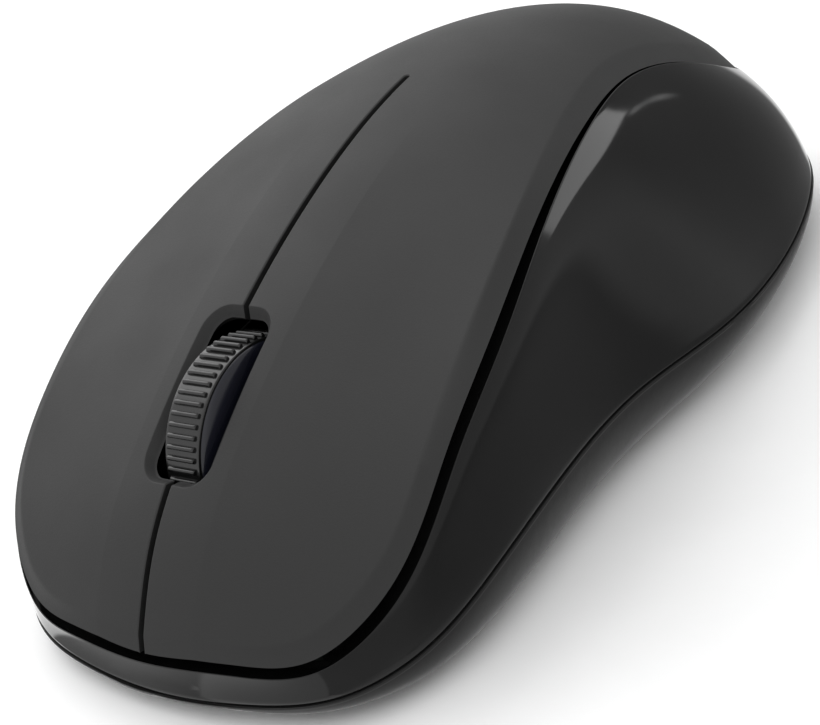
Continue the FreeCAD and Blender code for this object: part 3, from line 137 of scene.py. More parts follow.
def ring_sampler(points, samples):
    """The matrix that turns values at a ring's points into values all along a smooth closed curve."""
    count = len(points)
    gaps = np.linalg.norm(np.roll(points, -1, 0) - points, axis=1)
    system = np.zeros((count, count))
    right = np.zeros((count, count))
    for i in range(count):
        before, after = gaps[i - 1], gaps[i]
        system[i, i - 1] += before
        system[i, i] += 2 * (before + after)
        system[i, (i + 1) % count] += after
        right[i, (i + 1) % count] += 6 / after
        right[i, i] -= 6 / after + 6 / before
        right[i, i - 1] += 6 / before
    bend = np.linalg.solve(system, right)
    starts = np.concatenate([[0], np.cumsum(gaps)])
    identity = np.eye(count)
    rows = []
    for place in np.arange(samples) / samples * starts[-1]:
        i = min(np.searchsorted(starts, place, side="right") - 1, count - 1)
        b = (place - starts[i]) / gaps[i]
        a = 1 - b
        j = (i + 1) % count
        cubic = ((a ** 3 - a) * bend[i] + (b ** 3 - b) * bend[j]) * gaps[i] ** 2 / 6
        rows.append(a * identity[i] + b * identity[j] + cubic)
    return np.array(rows)


seam_points = whole([(x * HALF_WIDTH, y * HALF_LENGTH, z * HEIGHT) for x, y, z in SEAM])
sampler = ring_sampler(seam_points, STATIONS)
seam = sampler @ seam_points
cover_plan = sampler @ whole([(x * HALF_WIDTH, y * HALF_LENGTH) for x, y in COVER_EDGE])
edge_drop, groove, lip_rise, shoulder, bulge, tuck, roll_width = (
    sampler @ whole(half)
    for half in (EDGE_DROP, GROOVE, LIP_RISE, SHOULDER_BULGE, SIDE_BULGE, BASE_TUCK, ROLL_WIDTH))


def outward(ring):
    """Unit vectors that point straight out of a ring in plan, with z at 0."""
    along = np.roll(ring, -1, 0) - np.roll(ring, 1, 0)
    normal = np.stack([along[:, 1], -along[:, 0]], 1)
    normal /= np.linalg.norm(normal, axis=1)[:, None]
    normal *= np.sign((normal * ring[:, :2]).sum(1))[:, None]
    return np.concatenate([normal, np.zeros((len(ring), 1))], 1)


def widened(ring, distance):
    return ring + outward(ring) * np.broadcast_to(distance, len(ring))[:, None]


def lifted(ring, rise):
    return ring + np.array([0, 0, 1.0]) * np.broadcast_to(rise, len(ring))[:, None]


def on_crown(ring, drop):
    plan = ring[:, :2]
    return np.concatenate([plan, (crown_height(plan[:, 0], plan[:, 1]) - drop)[:, None]], 1)


def unit(vectors):
    return vectors / np.maximum(np.linalg.norm(vectors, axis=-1, keepdims=True), 1e-9)


def eased(before, corner, after, reach, steps=4, reach_after=None):
    """Rings that round a corner between two neighbouring rings."""
    start = corner + unit(before - corner) * reach
    stop = corner + unit(after - corner) * (reach_after or reach)
    shares = np.linspace(0, 1, steps + 1)
    return [start * (1 - t) ** 2 + corner * 2 * t * (1 - t) + stop * t ** 2 for t in shares]


# ---- meshes ----

def piece(name, points, faces, material, body=None, crease=35):
    """A smooth-shaded mesh object from points in millimetres; edges sharper than crease stay sharp."""
    mesh = bpy.data.meshes.new(name)
    mesh.from_pydata((np.asarray(points, float) * MM).tolist(), [], faces)
    mesh.update()
    mesh.shade_smooth()
    mesh.set_sharp_from_angle(angle=math.radians(crease))
    mesh.materials.append(material)
    obj = bpy.data.objects.new(name, mesh)
    bpy.context.scene.collection.objects.link(obj)
    if body:
        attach(obj, body)
    return obj


def loft(rings):
    """Points and faces of a closed tube through rings of equal length; the last ring joins the first."""
    count = len(rings[0])
    faces = []
    for row in range(len(rings)):
        low = row * count
        high = (row + 1) % len(rings) * count
        for i in range(count):
            j = (i + 1) % count
            faces.append((low + i, low + j, high + j, high + i))
    return np.concatenate(rings), faces


def joined(*parts):
    """Several (points, faces) as one."""
    points, faces, start = [], [], 0
    for part_points, part_faces in parts:
        points.append(np.asarray(part_points, float))
        faces += [tuple(start + i for i in face) for face in part_faces]
        start += len(part_points)
    return np.concatenate(points), faces


def circle(place, radius, angles):
    """A ring about X at a place along it; the radius is one number or one for every angle."""
    return np.stack([np.full(len(angles), float(place)), radius * np.cos(angles), radius * np.sin(angles)], 1)


def turned(profile, centre, steps):
    """A lathe body about X: profile is a closed loop of (place along X, radius)."""
    angles = np.arange(steps) / steps * 2 * math.pi
    return loft([circle(place, radius, angles) + centre for place, radius in profile])


# ---- materials ----

def link(tree, source, target):
    tree.links.new(source, target)


def shader(name, colour, rough, metal=0.0, **sockets):
    """A new material; sockets are Principled inputs with underscores for spaces."""
    made = bpy.data.materials.new(name)
    made.use_nodes = True
    principled = made.node_tree.nodes["Principled BSDF"]
    principled.inputs["Base Color"].default_value = (*colour, 1)
    principled.inputs["Roughness"].default_value = rough
    principled.inputs["Metallic"].default_value = metal
    for socket, value in sockets.items():
        principled.inputs[socket.replace("_", " ")].default_value = value
    return made


def noise(tree, scale, detail, stretch=None):
    """A noise pattern in the row frame, scale in cells per metre."""
    coordinates = tree.nodes.new("ShaderNodeTexCoord")
    pattern = tree.nodes.new("ShaderNodeTexNoise")
    pattern.inputs["Scale"].default_value = scale
    pattern.inputs["Detail"].default_value = detail
    place = coordinates.outputs["Object"]
    if stretch:
        mapping = tree.nodes.new("ShaderNodeMapping")
        mapping.inputs["Scale"].default_value = stretch
        link(tree, place, mapping.inputs["Vector"])
        place = mapping.outputs["Vector"]
    link(tree, place, pattern.inputs["Vector"])
    return pattern.outputs["Fac"]


def spread(tree, factor, low, high):
    """Maps a pattern's middle range to low..high."""
    ranged = tree.nodes.new("ShaderNodeMapRange")
    ranged.inputs["From Min"].default_value = 0.3
    ranged.inputs["From Max"].default_value = 0.7
    ranged.inputs["To Min"].default_value = low
    ranged.inputs["To Max"].default_value = high
    link(tree, factor, ranged.inputs["Value"])
    return ranged.outputs["Result"]


def tint(tree, factor, dark, light):
    mix = tree.nodes.new("ShaderNodeMix")
    mix.data_type = "RGBA"
    mix.inputs["A"].default_value = (*dark, 1)
    mix.inputs["B"].default_value = (*light, 1)
    link(tree, factor, mix.inputs["Factor"])
    return mix.outputs["Result"]


def relief(tree, height, depth):
    """A bump of the given depth in metres."""
    bump = tree.nodes.new("ShaderNodeBump")
    bump.inputs["Distance"].default_value = depth
    link(tree, height, bump.inputs["Height"])
    return bump.outputs["Normal"]


def moulded(name, colour, rough, grain, depth, variation=0.06, cloud=90, spread_rough=0.04, **sockets):
    """Plastic, rubber and the like: slow colour and roughness clouds, and a fine grain in relief."""
    made = shader(name, colour, rough, **sockets)
    tree = made.node_tree
    principled = tree.nodes["Principled BSDF"]
    clouds = noise(tree, cloud, 3)
    dark = [c * (1 - variation) for c in colour]
    light = [c * (1 + variation) for c in colour]
    link(tree, tint(tree, spread(tree, clouds, 0, 1), dark, light), principled.inputs["Base Color"])
    fine = noise(tree, grain, 2)
    both = tree.nodes.new("ShaderNodeMath")
    both.operation = "ADD"
    link(tree, spread(tree, clouds, rough - spread_rough, rough + spread_rough), both.inputs[0])
    link(tree, spread(tree, fine, -spread_rough / 2, spread_rough / 2), both.inputs[1])
    link(tree, both.outputs["Value"], principled.inputs["Roughness"])
    link(tree, relief(tree, fine, depth), principled.inputs["Normal"])
    return made


def metal(name, colour, rough, stretch):
    """Bare metal with fine drawn lines."""
    made = shader(name, colour, rough, 1.0)
    tree = made.node_tree
    principled = tree.nodes["Principled BSDF"]
    lines = noise(tree, 900, 3, stretch)
    link(tree, spread(tree, lines, rough - 0.08, rough + 0.1), principled.inputs["Roughness"])
    link(tree, tint(tree, lines, [c * 0.85 for c in colour], colour), principled.inputs["Base Color"])
    link(tree, relief(tree, lines, 0.000004), principled.inputs["Normal"])
    return made


cover_plastic = moulded("cover_plastic", (0.018, 0.018, 0.018), 0.58, 5200, 0.000012, 0.05,
                        Specular_IOR_Level=0.38)
frame_gloss = moulded("frame_gloss", (0.008, 0.008, 0.008), 0.06, 700, 0.0000004, 0.15, 60, 0.012,
                      Specular_IOR_Level=0.24)
base_plastic = moulded("base_plastic", (0.012, 0.012, 0.012), 0.34, 5200, 0.000006, 0.08,
                       Specular_IOR_Level=0.25)
tyre_rubber = moulded("tyre_rubber", (0.007, 0.007, 0.007), 0.2, 6000, 0.0000004, 0.1,
                      Specular_IOR_Level=0.65)
hub_plastic = moulded("hub_plastic", (0.007, 0.0075, 0.013), 0.22, 2600, 0.0000006, 0.1)
carrier_plastic = moulded("carrier_plastic", (0.03, 0.03, 0.032), 0.42, 4200, 0.000008)
switch_plastic = moulded("switch_plastic", (0.02, 0.02, 0.022), 0.45, 4800, 0.000008)
plunger_plastic = moulded("plunger_plastic", (0.55, 0.53, 0.48), 0.4, 4800, 0.000005)
chip_plastic = moulded("chip_plastic", (0.012, 0.012, 0.013), 0.5, 6500, 0.000010)
board_laminate = moulded("board_laminate", (0.004, 0.010, 0.007), 0.45, 1600, 0.000006, 0.25, 700)
foot_ptfe = moulded("foot_ptfe", (0.035, 0.035, 0.036), 0.36, 3500, 0.000006, 0.1)
steel = metal("steel", (0.62, 0.62, 0.64), 0.28, (1, 12, 1))
aluminium = metal("can_aluminium", (0.78, 0.79, 0.80), 0.3, (1, 1, 14))
lens_clear = moulded("lens_clear", (0.85, 0.86, 0.86), 0.06, 1500, 0.0000005, 0.02, 120, 0.02,
                     Transmission_Weight=0.95, IOR=1.49)
receiver_plastic = moulded("receiver_plastic", (0.018, 0.018, 0.018), 0.4, 4800, 0.000006)
MATERIALS = {
    "base_shell": base_plastic, "side_frame": frame_gloss, "palm_cover": cover_plastic,
    "left_button": cover_plastic, "right_button": cover_plastic,
    "wheel_tyre": tyre_rubber, "wheel_hub": hub_plastic, "wheel_axle": steel,
    "encoder_disc": carrier_plastic, "wheel_carrier": carrier_plastic,
    "main_board": board_laminate, "sensor_lens": lens_clear, "sensor_lamp": lens_clear,
    "sensor_chip": chip_plastic, "controller_chip": chip_plastic, "encoder_detector": chip_plastic,
    "encoder_emitter": chip_plastic, "crystal_can": steel, "smoothing_capacitor": aluminium,
    "battery_cell": aluminium, "battery_spring": steel, "battery_plate": steel,
    "battery_door": base_plastic, "receiver_head": receiver_plastic, "receiver_plug": steel,
    "power_switch_case": switch_plastic, "power_switch_slider": plunger_plastic,
    "glide_feet": foot_ptfe, "case_screws": steel, "board_screws": steel,
}
for name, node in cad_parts.items():
    made = MATERIALS.get(name)
    if made is None:
        made = plunger_plastic if name.endswith("plunger") else switch_plastic
    node.data.materials.clear()
    node.data.materials.append(made)


# ---- the cover ----

WELL_INNER = (3.5, -42.0, -26.3, 1.8)
WELL_OUTER = (4.5, -43.2, -25.9, 2.8)
WELL_FALL = 1.2
CREASE_X = 6.4
PLAN_STEP = 0.9
EDGE_UNDERCUT, EDGE_THINNING, WELL_UNDERCUT = 1.6, 0.55, 0.7
ROLL_SOFT, WELL_SOFT = 0.3, 0.12
DISH_DEPTH, DISH_REACH = 0.3, 3.2
SLIT_LIP, SLIT_LIP_WIDTH = 0.1, 0.16
GRID_CLEAR, SLIT_CLEAR, WELL_CLEAR = 0.3, 0.7, 0.6


def outside(x, y, shape):
    """Distance outside a rounded rectangle (half width, front, rear, corner); negative inside."""
    half_width, front, rear, corner = shape
    dx = np.abs(x) - half_width + corner
    dy = np.abs(y - (front + rear) / 2) - (rear - front) / 2 + corner
    far = np.hypot(np.maximum(dx, 0), np.maximum(dy, 0))
    return far + np.minimum(np.maximum(dx, dy), 0) - corner


def outside_slit(x, y):
    """Distance outside the slit, which ends in a half circle."""
    return np.hypot(x, np.maximum(y - SLIT_END, 0)) - SLIT_HALF


def inside_edge(x, y):
    """Distance inside the cover's edge, and the station of the edge that is nearest."""
    points = np.stack([x, y], 1)
    after = np.roll(cover_plan, -1, 0)
    best = np.zeros(len(points))
    nearest = np.zeros(len(points), int)
    for start in range(0, len(points), 2000):
        part = points[start:start + 2000, None]
        run = after - cover_plan
        share = ((part - cover_plan) * run).sum(2) / (run ** 2).sum(1)
        near = cover_plan + run * np.clip(share, 0, 1)[..., None]
        distance = np.linalg.norm(part - near, axis=2)
        best[start:start + 2000] = distance.min(1)
        nearest[start:start + 2000] = distance.argmin(1)
    return best, nearest


def smooth_step(value, low, high):
    t = np.clip((value - low) / (high - low), 0, 1)
    return t * t * (3 - 2 * t)


def soft_ramp(share, soft):
    """A straight ramp whose start, up to soft, is a parabola."""
    return np.where(share < soft, share ** 2 / (2 * soft), share - soft / 2)


def top_drop(x, y):
    """How far the finished top lies below the crown surface: dishes, rolled edge, slit and well."""
    edge, station = inside_edge(x, y)
    turn = np.clip(1 - edge / roll_width[station], 0, 1)
    roll = edge_drop[station] / (1 - ROLL_SOFT / 2) * soft_ramp(turn, ROLL_SOFT)
    beyond = np.maximum(np.abs(x) - CREASE_X, 0)
    dish = DISH_DEPTH * smooth_step(-y, -6, 20) * (1 - np.exp(-beyond / DISH_REACH))
    dish = dish * (1 - smooth_step(beyond, 8, 20))
    slit = outside_slit(x, y)
    lip = SLIT_LIP * np.clip(1 - slit / SLIT_LIP_WIDTH, 0, 1) ** 2
    near, far = outside(x, y, WELL_INNER), outside(x, y, WELL_OUTER)
    depth = np.clip(-far / np.maximum(near - far, 1e-6), 0, 1)
    slope = WELL_FALL * soft_ramp(depth, WELL_SOFT)
    return roll + dish + lip + slope + TOP_CLEARANCE


def rounded_outline(shape, steps):
    """The x >= 0 half of a rounded rectangle, from its front to its rear."""
    half_width, front, rear, corner = shape
    turns = np.linspace(0, math.pi / 2, steps)
    side = half_width - corner
    front_part = [(side + corner * math.sin(t), front + corner - corner * math.cos(t)) for t in turns]
    rear_part = [(side + corner * math.cos(t), rear - corner + corner * math.sin(t)) for t in turns]
    middle = [(half_width, y) for y in np.linspace(front + corner, rear - corner, 16)[1:-1]]
    return [(0, front)] + front_part + middle + rear_part + [(0, rear)]


def cover_plan_mesh():
    """Triangles of the right half of the cover in plan, with close rows along every edge."""
    half = STATIONS // 2 + 1
    lines = []
    for turn in np.linspace(0, 1, 8):
        inward = roll_width * (1 - math.sin(turn * math.pi / 2))
        inset = cover_plan - outward(cover_plan)[:, :2] * inward[:, None]
        lines.append(inset[:half])
    front, rear = cover_plan[0, 1] - 1, SLIT_END
    for gap in (0, 0.08, 0.18, 0.5):
        straight = [(SLIT_HALF + gap, y) for y in np.linspace(front, rear, 150)]
        end = [((SLIT_HALF + gap) * math.cos(t), rear + (SLIT_HALF + gap) * math.sin(t))
               for t in np.linspace(0, math.pi / 2, 8)[1:]]
        lines.append(np.array(straight + end))
    for share in (0, 0.25, 0.5, 0.75, 0.89, 1, 1.15, 1.35):
        shape = [inner + (outer - inner) * share for inner, outer in zip(WELL_INNER, WELL_OUTER)]
        lines.append(np.array(rounded_outline(shape, 14)))
    for x in (CREASE_X - 0.06, CREASE_X + 0.14):
        lines.append(np.array([(x, y) for y in np.linspace(-50, 4, 60)]))
    lines.append(np.array([(x, FLEX_Y) for x in np.linspace(0, 24, 41)]))
    lines.append(np.array([(0, y) for y in np.linspace(SLIT_END + SLIT_HALF, cover_plan[half - 1, 1], 60)]))
    points, edges = [], []
    for line in lines:
        start = len(points)
        points += [Vector((float(x), float(y))) for x, y in line]
        edges += [(start + i, start + i + 1) for i in range(len(line) - 1)]
    grid_x, grid_y = np.meshgrid(np.arange(PLAN_STEP / 2, 28, PLAN_STEP), np.arange(-54, 54, PLAN_STEP))
    grid_x, grid_y = grid_x.ravel(), grid_y.ravel()
    edge, station = inside_edge(grid_x, grid_y)
    kept = inside_outline(grid_x, grid_y) & (edge > roll_width[station] + GRID_CLEAR)
    kept &= outside_slit(grid_x, grid_y) > SLIT_CLEAR
    kept &= outside(grid_x, grid_y, WELL_OUTER) > WELL_CLEAR
    kept &= (np.abs(grid_y - FLEX_Y) > GRID_CLEAR) & (np.abs(grid_x - CREASE_X) > GRID_CLEAR)
    points += [Vector((float(x), float(y))) for x, y in zip(grid_x[kept], grid_y[kept])]
    verts, _, faces, *_ = delaunay_2d_cdt(points, edges, [], 0, 1e-4, False)
    plan = np.array([tuple(v) for v in verts])
    faces = np.array(faces)
    middle = plan[faces].mean(1)
    kept = inside_outline(middle[:, 0], middle[:, 1]) & (middle[:, 0] > 0)
    kept &= outside_slit(middle[:, 0], middle[:, 1]) > 0
    kept &= outside(middle[:, 0], middle[:, 1], WELL_INNER) > 0
    return plan, faces[kept], middle[kept]


def inside_outline(x, y):
    """Whether points lie inside the cover's outline, by counting crossings."""
    inside = np.zeros(len(x), bool)
    after = np.roll(cover_plan, -1, 0)
    for (ax, ay), (bx, by) in zip(cover_plan, after):
        crosses = (ay > y) != (by > y)
        inside ^= crosses & (x < ax + (y - ay) / (by - ay if by != ay else 1e-12) * (bx - ax))
    return inside


def undercut(x, y):
    """How the underside draws back from the cover's edge and from the well, so that both look thin."""
    edge, station = inside_edge(x, y)
    share = np.clip(1 - edge / (2 * EDGE_UNDERCUT), 0, 1)[:, None]
    total = -outward(cover_plan)[station] * EDGE_UNDERCUT * share
    total[:, 2:] = EDGE_THINNING * share
    step = 0.05
    well = outside(x, y, WELL_INNER)
    away = np.stack([outside(x + step, y, WELL_INNER) - well, outside(x, y + step, WELL_INNER) - well], 1)
    total[:, :2] += unit(away) * (WELL_UNDERCUT * np.clip(1 - well / (2 * WELL_UNDERCUT), 0, 1))[:, None]
    total[:, 0] *= np.minimum(1, np.maximum(np.abs(x) - SLIT_HALF, 0) / EDGE_UNDERCUT)
    return total


def top_normals(x, y):
    step = 0.02
    height = [crown_height(x + dx, y + dy) - top_drop(x + dx, y + dy)
              for dx, dy in ((step, 0), (-step, 0), (0, step), (0, -step))]
    slope_x, slope_y = (height[0] - height[1]) / (2 * step), (height[2] - height[3]) / (2 * step)
    return unit(np.stack([-slope_x, -slope_y, np.ones(len(x))], 1))


def cover_piece(plan, faces, mirrored):
    """A closed shell between the finished top and the underside, for some of the plan's triangles."""
    used, index = np.unique(faces, return_inverse=True)
    plan = plan[used]
    faces = index.reshape(faces.shape)
    if mirrored:
        plan = plan * (-1, 1)
    corners = plan[faces]
    side_a, side_b = corners[:, 1] - corners[:, 0], corners[:, 2] - corners[:, 0]
    turned_over = side_a[:, 0] * side_b[:, 1] - side_a[:, 1] * side_b[:, 0] < 0
    faces[turned_over] = faces[turned_over][:, ::-1]
    x, y = plan[:, 0], plan[:, 1]
    crown = crown_height(x, y)
    top = np.stack([x, y, crown - top_drop(x, y)], 1)
    low = np.stack([x, y, crown - COVER_WALL], 1)
    low += undercut(x, y)
    count = len(plan)
    directed = np.concatenate([faces[:, [0, 1]], faces[:, [1, 2]], faces[:, [2, 0]]])
    known = {(a, b) for a, b in directed.tolist()}
    rim = [(a, b) for a, b in known if (b, a) not in known]
    walls = [(b, a, a + count, b + count) for a, b in rim]
    under = (faces[:, ::-1] + count).tolist()
    return np.concatenate([top, low]), faces.tolist() + under + walls, len(faces)


def with_top_normals(obj, top_faces):
    """Takes the shading of the top faces from the surface itself, so that no seam shows."""
    mesh = obj.data
    corner_points = np.array([mesh.vertices[v].co for p in mesh.polygons[:top_faces] for v in p.vertices]) / MM
    normals = np.zeros((len(mesh.loops), 3))
    normals[:len(corner_points)] = top_normals(corner_points[:, 0], corner_points[:, 1])
    mesh.normals_split_custom_set(normals.tolist())


plan, triangles, middles = cover_plan_mesh()
front_half = triangles[middles[:, 1] < FLEX_Y]
rear_half = triangles[middles[:, 1] > FLEX_Y]
for side, mirrored in (("left", False), ("right", True)):
    points, faces, top_faces = cover_piece(plan, front_half, mirrored)
    button = piece(f"{side}_button_cover", points, faces, cover_plastic)
    with_top_normals(button, top_faces)
    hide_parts(f"{side}_button")
    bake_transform(button)
points, faces, top_faces = cover_piece(plan, rear_half, False)
other_points, other_faces, _ = cover_piece(plan, rear_half, True)
palm_points, palm_faces = joined((points, faces[:top_faces]), (other_points, other_faces[:top_faces]),
                                 (points, faces[top_faces:]), (other_points, other_faces[top_faces:]))
palm = piece("palm_shell", palm_points, palm_faces, cover_plastic, "housing")
with_top_normals(palm, 2 * top_faces)
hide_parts("palm_cover")


# ---- the side frame ----

LEDGE_TOP, LEDGE_DEPTH, FRAME_WALL, LEDGE_WIDTH, LEDGE_WALL = 3.5, 1.2, 1.6, 6.2, 0.8
SEAM_GAP, LAND_WIDTH = 0.12, 0.15
FOOT_INWARD, FOOT_UPWARD, LIP_ROUND = 0.2, 0.95, 0.07
cover_edge = on_crown(np.concatenate([cover_plan, np.zeros((STATIONS, 1))], 1), edge_drop)
lip = lifted(widened(cover_edge, groove), lip_rise)
foot = lifted(seam, SEAM_GAP)
run = ((lip - foot) * outward(foot)).sum(1)
climb = (lip - foot)[:, 2]
lean = (outward(foot) * climb[:, None] - np.array([0, 0, 1.0]) * run[:, None]) / np.hypot(run, climb)[:, None]
middle_ring = (foot + lip) / 2 + lean * bulge[:, None]


def side_ring(t):
    """A ring of the outer side: a shallow arch with a soft shoulder under the lip."""
    arch = foot * (2 * t * t - 3 * t + 1) + middle_ring * (4 * t - 4 * t * t) + lip * (2 * t * t - t)
    return arch + lean * (shoulder * math.sin(math.pi * t ** 4))[:, None]


land = widened(lip, -LAND_WIDTH)
inner_edge = widened(cover_edge, -LEDGE_WIDTH)
inner_foot = widened(foot, -FRAME_WALL)
rings = eased(inner_foot, foot, side_ring(0.1), FOOT_INWARD, 9, FOOT_UPWARD)
rings += [side_ring(t) for t in np.linspace(0.16, 0.985, 33)]
rings += eased(side_ring(0.98), lip, land, LIP_ROUND, 3)
rings += eased(lip, land, on_crown(land, LEDGE_TOP), LIP_ROUND, 2)
ledge = on_crown(land, LEDGE_TOP)


def level(ring, drop):
    """A ring at the height of the ledge, or drop lower."""
    return np.concatenate([ring[:, :2], ledge[:, 2:] - drop], 1)


# The ledge runs level under the cover and ends in a low wall.  It overlaps fixed pieces inside: the base
# shell, the main board and a little of the switch cases and the battery plate.
behind_wall = widened(cover_edge, -LEDGE_WIDTH - LEDGE_WALL)
rings += [ledge, level(inner_edge, 0), on_crown(inner_edge, LEDGE_TOP), on_crown(behind_wall, LEDGE_TOP)]
rings += [level(behind_wall, LEDGE_DEPTH), level(widened(lip, -FRAME_WALL), LEDGE_DEPTH), inner_foot]
points, faces = loft(rings)
side = piece("side_band", points, [f[::-1] for f in faces], frame_gloss, "housing")
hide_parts("side_frame")


# ---- the rim round the top of the base ----

FOOT_HEIGHT, RIM_STAND, RIM_SUNK = 0.8, 0.07, 0.1


def base_side(drop, stand):
    """A ring of the base's side, drop below the seam; it turns in through a quarter ellipse."""
    fall = seam[:, 2] - FOOT_HEIGHT
    drop = np.minimum(drop, 0.25 * fall)
    inward = tuck * (1 - np.sqrt(1 - (drop / fall) ** 2))
    return lifted(widened(seam, stand - inward), -drop)


# Distance below the seam and distance out from the side of the base.
rim_profile = (
    (0.08, -RIM_SUNK), (0.08, RIM_STAND / 2), (0.12, RIM_STAND),
    (0.36, RIM_STAND), (0.42, RIM_STAND / 2), (0.42, -RIM_SUNK),
)
rings = [base_side(drop, stand) for drop, stand in rim_profile]
points, faces = loft(rings)
# At the widest place the rim stays within the base shell's own box.
box_low, box_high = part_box("base_shell")
points[:, 0] = np.clip(points[:, 0], box_low.x / MM, box_high.x / MM)
rim = piece("base_rim", points, faces, base_plastic, "housing", 50)


# ---- the wheel ----

axle_low, axle_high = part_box("wheel_axle")
axle = np.array([0, (axle_low.y + axle_high.y) / 2, (axle_low.z + axle_high.z) / 2]) / MM
WHEEL_RADIUS, RIB_DEPTH, RIBS = 10.75, 0.4, 60
BAND_THICKNESS, BAND_HALF_WIDTH = 1.6, 2.2
RIB_HALF_PITCH, RIB_FULLNESS = 0.25, 0.8


def tyre():
    """The rubber band: round-topped ribs between plain margins."""
    band = WHEEL_RADIUS - RIB_DEPTH
    pitch_shares = np.array([-0.5, -0.34, -0.262, -0.25, -0.225, -0.18, -0.12, -0.06])
    pitch_shares = np.concatenate([pitch_shares, [0.0], -pitch_shares[:0:-1]])
    tooth = np.sqrt(np.clip(1 - (pitch_shares / RIB_HALF_PITCH) ** 2, 0, 1)) ** RIB_FULLNESS
    angles = ((np.arange(RIBS)[:, None] + pitch_shares) * (2 * math.pi / RIBS)).ravel()
    tooth = np.tile(tooth, RIBS)
    half = [(BAND_HALF_WIDTH, -0.35), (BAND_HALF_WIDTH, -0.06), (2.16, -0.015), (2.1, 0), (1.82, 0),
            (1.775, 0.0), (1.765, 0.45), (1.73, 0.78), (1.66, 0.95), (1.55, 1.0), (0.9, 1.0), (0.3, 1.0)]
    across = half + [(-x, share) for x, share in half[::-1]]
    inner = band - BAND_THICKNESS
    rings = []
    for x, share in across:
        radius = band + (RIB_DEPTH * share * tooth if share > 0 else np.full(len(tooth), share))
        rings.append(circle(x, radius, angles) + axle)
    rings += [circle(x, inner, angles) + axle for x in (-BAND_HALF_WIDTH, BAND_HALF_WIDTH)]
    return loft(rings)


def hub_profile():
    """Domed flanks that start beside the band, a flat boss and the bore."""
    turns = np.linspace(0, math.pi / 2, 14)
    dome = [(2.3 + 0.9 * math.sin(t), 6.2 + 3.9 * math.cos(t)) for t in turns]
    boss = [(3.2, 3.5), (3.12, 3.38), (3.12, 2.75), (3.25, 2.6), (3.25, 1.5), (3.2, 1.28)]
    half = [(2.3, 8.75), (2.3, 9.9)] + dome + boss
    return half + [(-x, r) for x, r in half[::-1]]


points, faces = tyre()
band = piece("wheel_band", points, faces, tyre_rubber, "wheel", 42)
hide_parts("wheel_tyre")
points, faces = turned(hub_profile(), axle, 180)
hub = piece("wheel_core", points, faces, hub_plastic, "wheel", 40)
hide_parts("wheel_hub")


# ---- stage, light and camera ----

def area_light(name, place, aim, size, power):
    """A rectangular lamp at a place, aimed at a point, in metres and watts."""
    data = bpy.data.lights.new(name, "AREA")
    data.shape = "RECTANGLE"
    data.size, data.size_y = size
    data.energy = power
    light = bpy.data.objects.new(name, data)
    bpy.context.scene.collection.objects.link(light)
    light.location = place
    light.rotation_mode = "QUATERNION"
    light.rotation_quaternion = (Vector(aim) - Vector(place)).to_track_quat("-Z", "Y")
    return light


def make_stage():
    count, reach = 24, 1.6
    steps = np.linspace(-reach, reach, count) / MM
    grid = np.array([(x, y, 0) for y in steps for x in steps])
    faces = [(i * count + j, i * count + j + 1, (i + 1) * count + j + 1, (i + 1) * count + j)
             for i in range(count - 1) for j in range(count - 1)]
    paper = moulded("floor_paper", (0.95, 0.95, 0.95), 0.7, 500, 0.00002, 0.01)
    floor = piece("floor", grid, faces, paper)
    floor.visible_glossy = False


def math_node(tree, operation, *inputs):
    node = tree.nodes.new("ShaderNodeMath")
    node.operation = operation
    for socket, value in zip(node.inputs, inputs):
        if isinstance(value, (int, float)):
            socket.default_value = value
        else:
            link(tree, value, socket)
    return node.outputs["Value"]


def smooth_window(tree, value, low, high, low_to=0.0, high_to=1.0):
    ranged = tree.nodes.new("ShaderNodeMapRange")
    ranged.interpolation_type = "SMOOTHSTEP"
    for name, number in (("From Min", low), ("From Max", high), ("To Min", low_to), ("To Max", high_to)):
        ranged.inputs[name].default_value = number
    link(tree, value, ranged.inputs["Value"])
    return ranged.outputs["Result"]


def along(tree, direction, vector):
    dot = tree.nodes.new("ShaderNodeVectorMath")
    dot.operation = "DOT_PRODUCT"
    link(tree, direction, dot.inputs[0])
    dot.inputs[1].default_value = vector
    return dot.outputs["Value"]


def softbox(tree, direction, azimuth, elevation, half_width, half_height, strength, edge):
    """A far rectangular light round a direction, angles in degrees; azimuth 0 is +X, 90 is +Y."""
    azimuth, elevation = math.radians(azimuth), math.radians(elevation)
    rise, reach = math.sin(elevation), math.cos(elevation)
    ahead = along(tree, direction, (reach * math.cos(azimuth), reach * math.sin(azimuth), rise))
    aside = along(tree, direction, (-math.sin(azimuth), math.cos(azimuth), 0))
    above = along(tree, direction, (-rise * math.cos(azimuth), -rise * math.sin(azimuth), reach))
    shape = math_node(tree, "GREATER_THAN", ahead, 0.05)
    for part, half in ((aside, half_width), (above, half_height)):
        size = math.tan(math.radians(half))
        share = math_node(tree, "ABSOLUTE", math_node(tree, "DIVIDE", part, ahead))
        window = smooth_window(tree, share, size * (1 - edge), size * (1 + edge), 1, 0)
        shape = math_node(tree, "MULTIPLY", shape, window)
    return math_node(tree, "MULTIPLY", shape, strength)


# Azimuth, elevation, half width and half height in degrees, strength, and the softness of the edge.
SOFTBOXES = [
    (63.5, 17.5, 9.5, 9.5, 2.8, 0.03),
    (73.2, 6.8, 0.55, 0.4, 1.5, 0.3),
    (118, -22, 13, 12, 0.8, 0.3),
    (-106, -38, 20, 18, 0.65, 0.04),
    (164, -32, 16, 16, 1.2, 0.1),
    (150, 35, 40, 30, 0.5, 0.5),
]
ROOM_LIGHT, UPPER_LIGHT, LOWER_LIGHT, FRONT_LIGHT = 0.28, 0.35, 0.4, 0.3


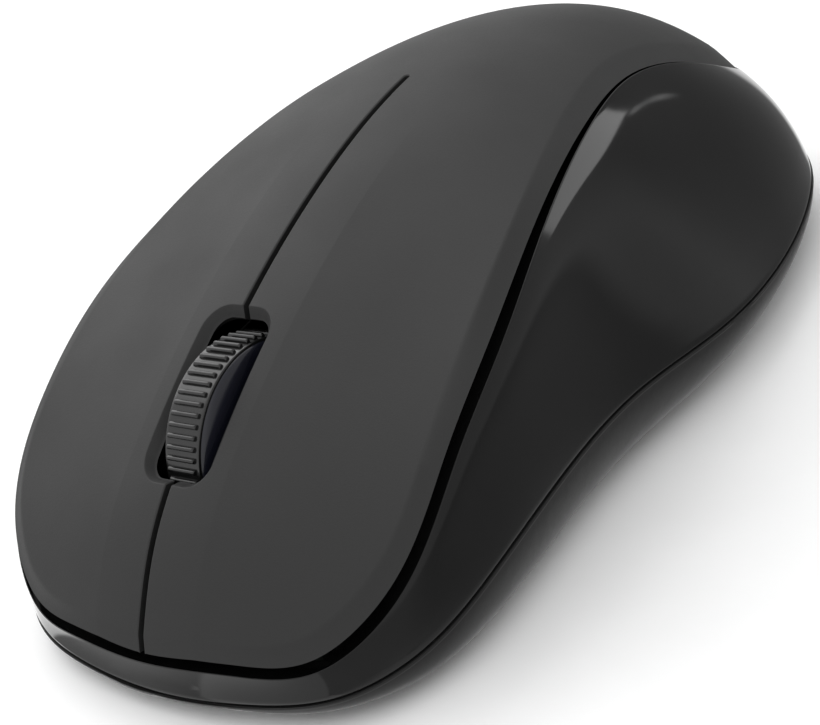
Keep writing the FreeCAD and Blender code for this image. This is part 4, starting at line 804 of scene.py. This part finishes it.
def make_world():
    """A dim room, lighter straight below, towards the front and from just under the horizon up.

    The upper light fades out towards the rear.  The softboxes are added to the room.
    """
    world = bpy.data.worlds.new("studio")
    bpy.context.scene.world = world
    world.use_nodes = True
    tree = world.node_tree
    background = tree.nodes["Background"]
    background.inputs["Color"].default_value = (1, 1, 1, 1)
    direction = tree.nodes.new("ShaderNodeTexCoord").outputs["Generated"]
    above = smooth_window(tree, along(tree, direction, (0, 0, 1)), -0.26, -0.13)
    upper = smooth_window(tree, along(tree, direction, (0, 1, 0)), 0.8, 0.93, UPPER_LIGHT, 0)
    total = math_node(tree, "ADD", math_node(tree, "MULTIPLY", above, upper), ROOM_LIGHT)
    below = smooth_window(tree, along(tree, direction, (0, 0, -1)), 0.5, 0.8, 0, LOWER_LIGHT)
    total = math_node(tree, "ADD", total, below)
    front = smooth_window(tree, along(tree, direction, (0, -1, 0)), -0.2, 0.6, 0, FRONT_LIGHT)
    total = math_node(tree, "ADD", total, front)
    for box in SOFTBOXES:
        total = math_node(tree, "ADD", total, softbox(tree, direction, *box))
    link(tree, total, background.inputs["Strength"])
    bpy.context.scene.view_settings.view_transform = "Standard"


CAMERA_ANGLES = (44.37, 29.39, -18.75)
CAMERA_TARGET, CAMERA_DISTANCE, CAMERA_LENS = (0.00727, -0.01413, 0.015), 0.2095, 89.5


def make_camera():
    """The photo's angle: azimuth from the front, elevation and roll in degrees."""
    azimuth, elevation, roll = (math.radians(a) for a in CAMERA_ANGLES)
    target = Vector(CAMERA_TARGET)
    away = Vector((math.sin(azimuth) * math.cos(elevation), -math.cos(azimuth) * math.cos(elevation),
                   math.sin(elevation)))
    right = Vector((math.cos(azimuth), math.sin(azimuth), 0))
    up = right.cross(-away)
    across = math.cos(roll) * right + math.sin(roll) * up
    upward = math.cos(roll) * up - math.sin(roll) * right
    camera = bpy.data.objects.new("camera", bpy.data.cameras.new("camera"))
    bpy.context.scene.collection.objects.link(camera)
    camera.data.lens = CAMERA_LENS
    camera.data.sensor_width = 36
    pose = Matrix((across, upward, away)).transposed().to_4x4()
    pose.translation = target + away * CAMERA_DISTANCE
    camera.matrix_world = pose
    camera.data.clip_start = 0.01
    bpy.context.scene.camera = camera


MIDDLE = (0, 0, 0.02)
make_stage()
make_world()
make_camera()
area_light("key", (-0.8, 0.3, 0.9), MIDDLE, (1.2, 1.2), 5)
overhead = area_light("overhead", (0.1, -0.3, 1.2), MIDDLE, (1.4, 1.4), 5)
overhead.visible_glossy = False
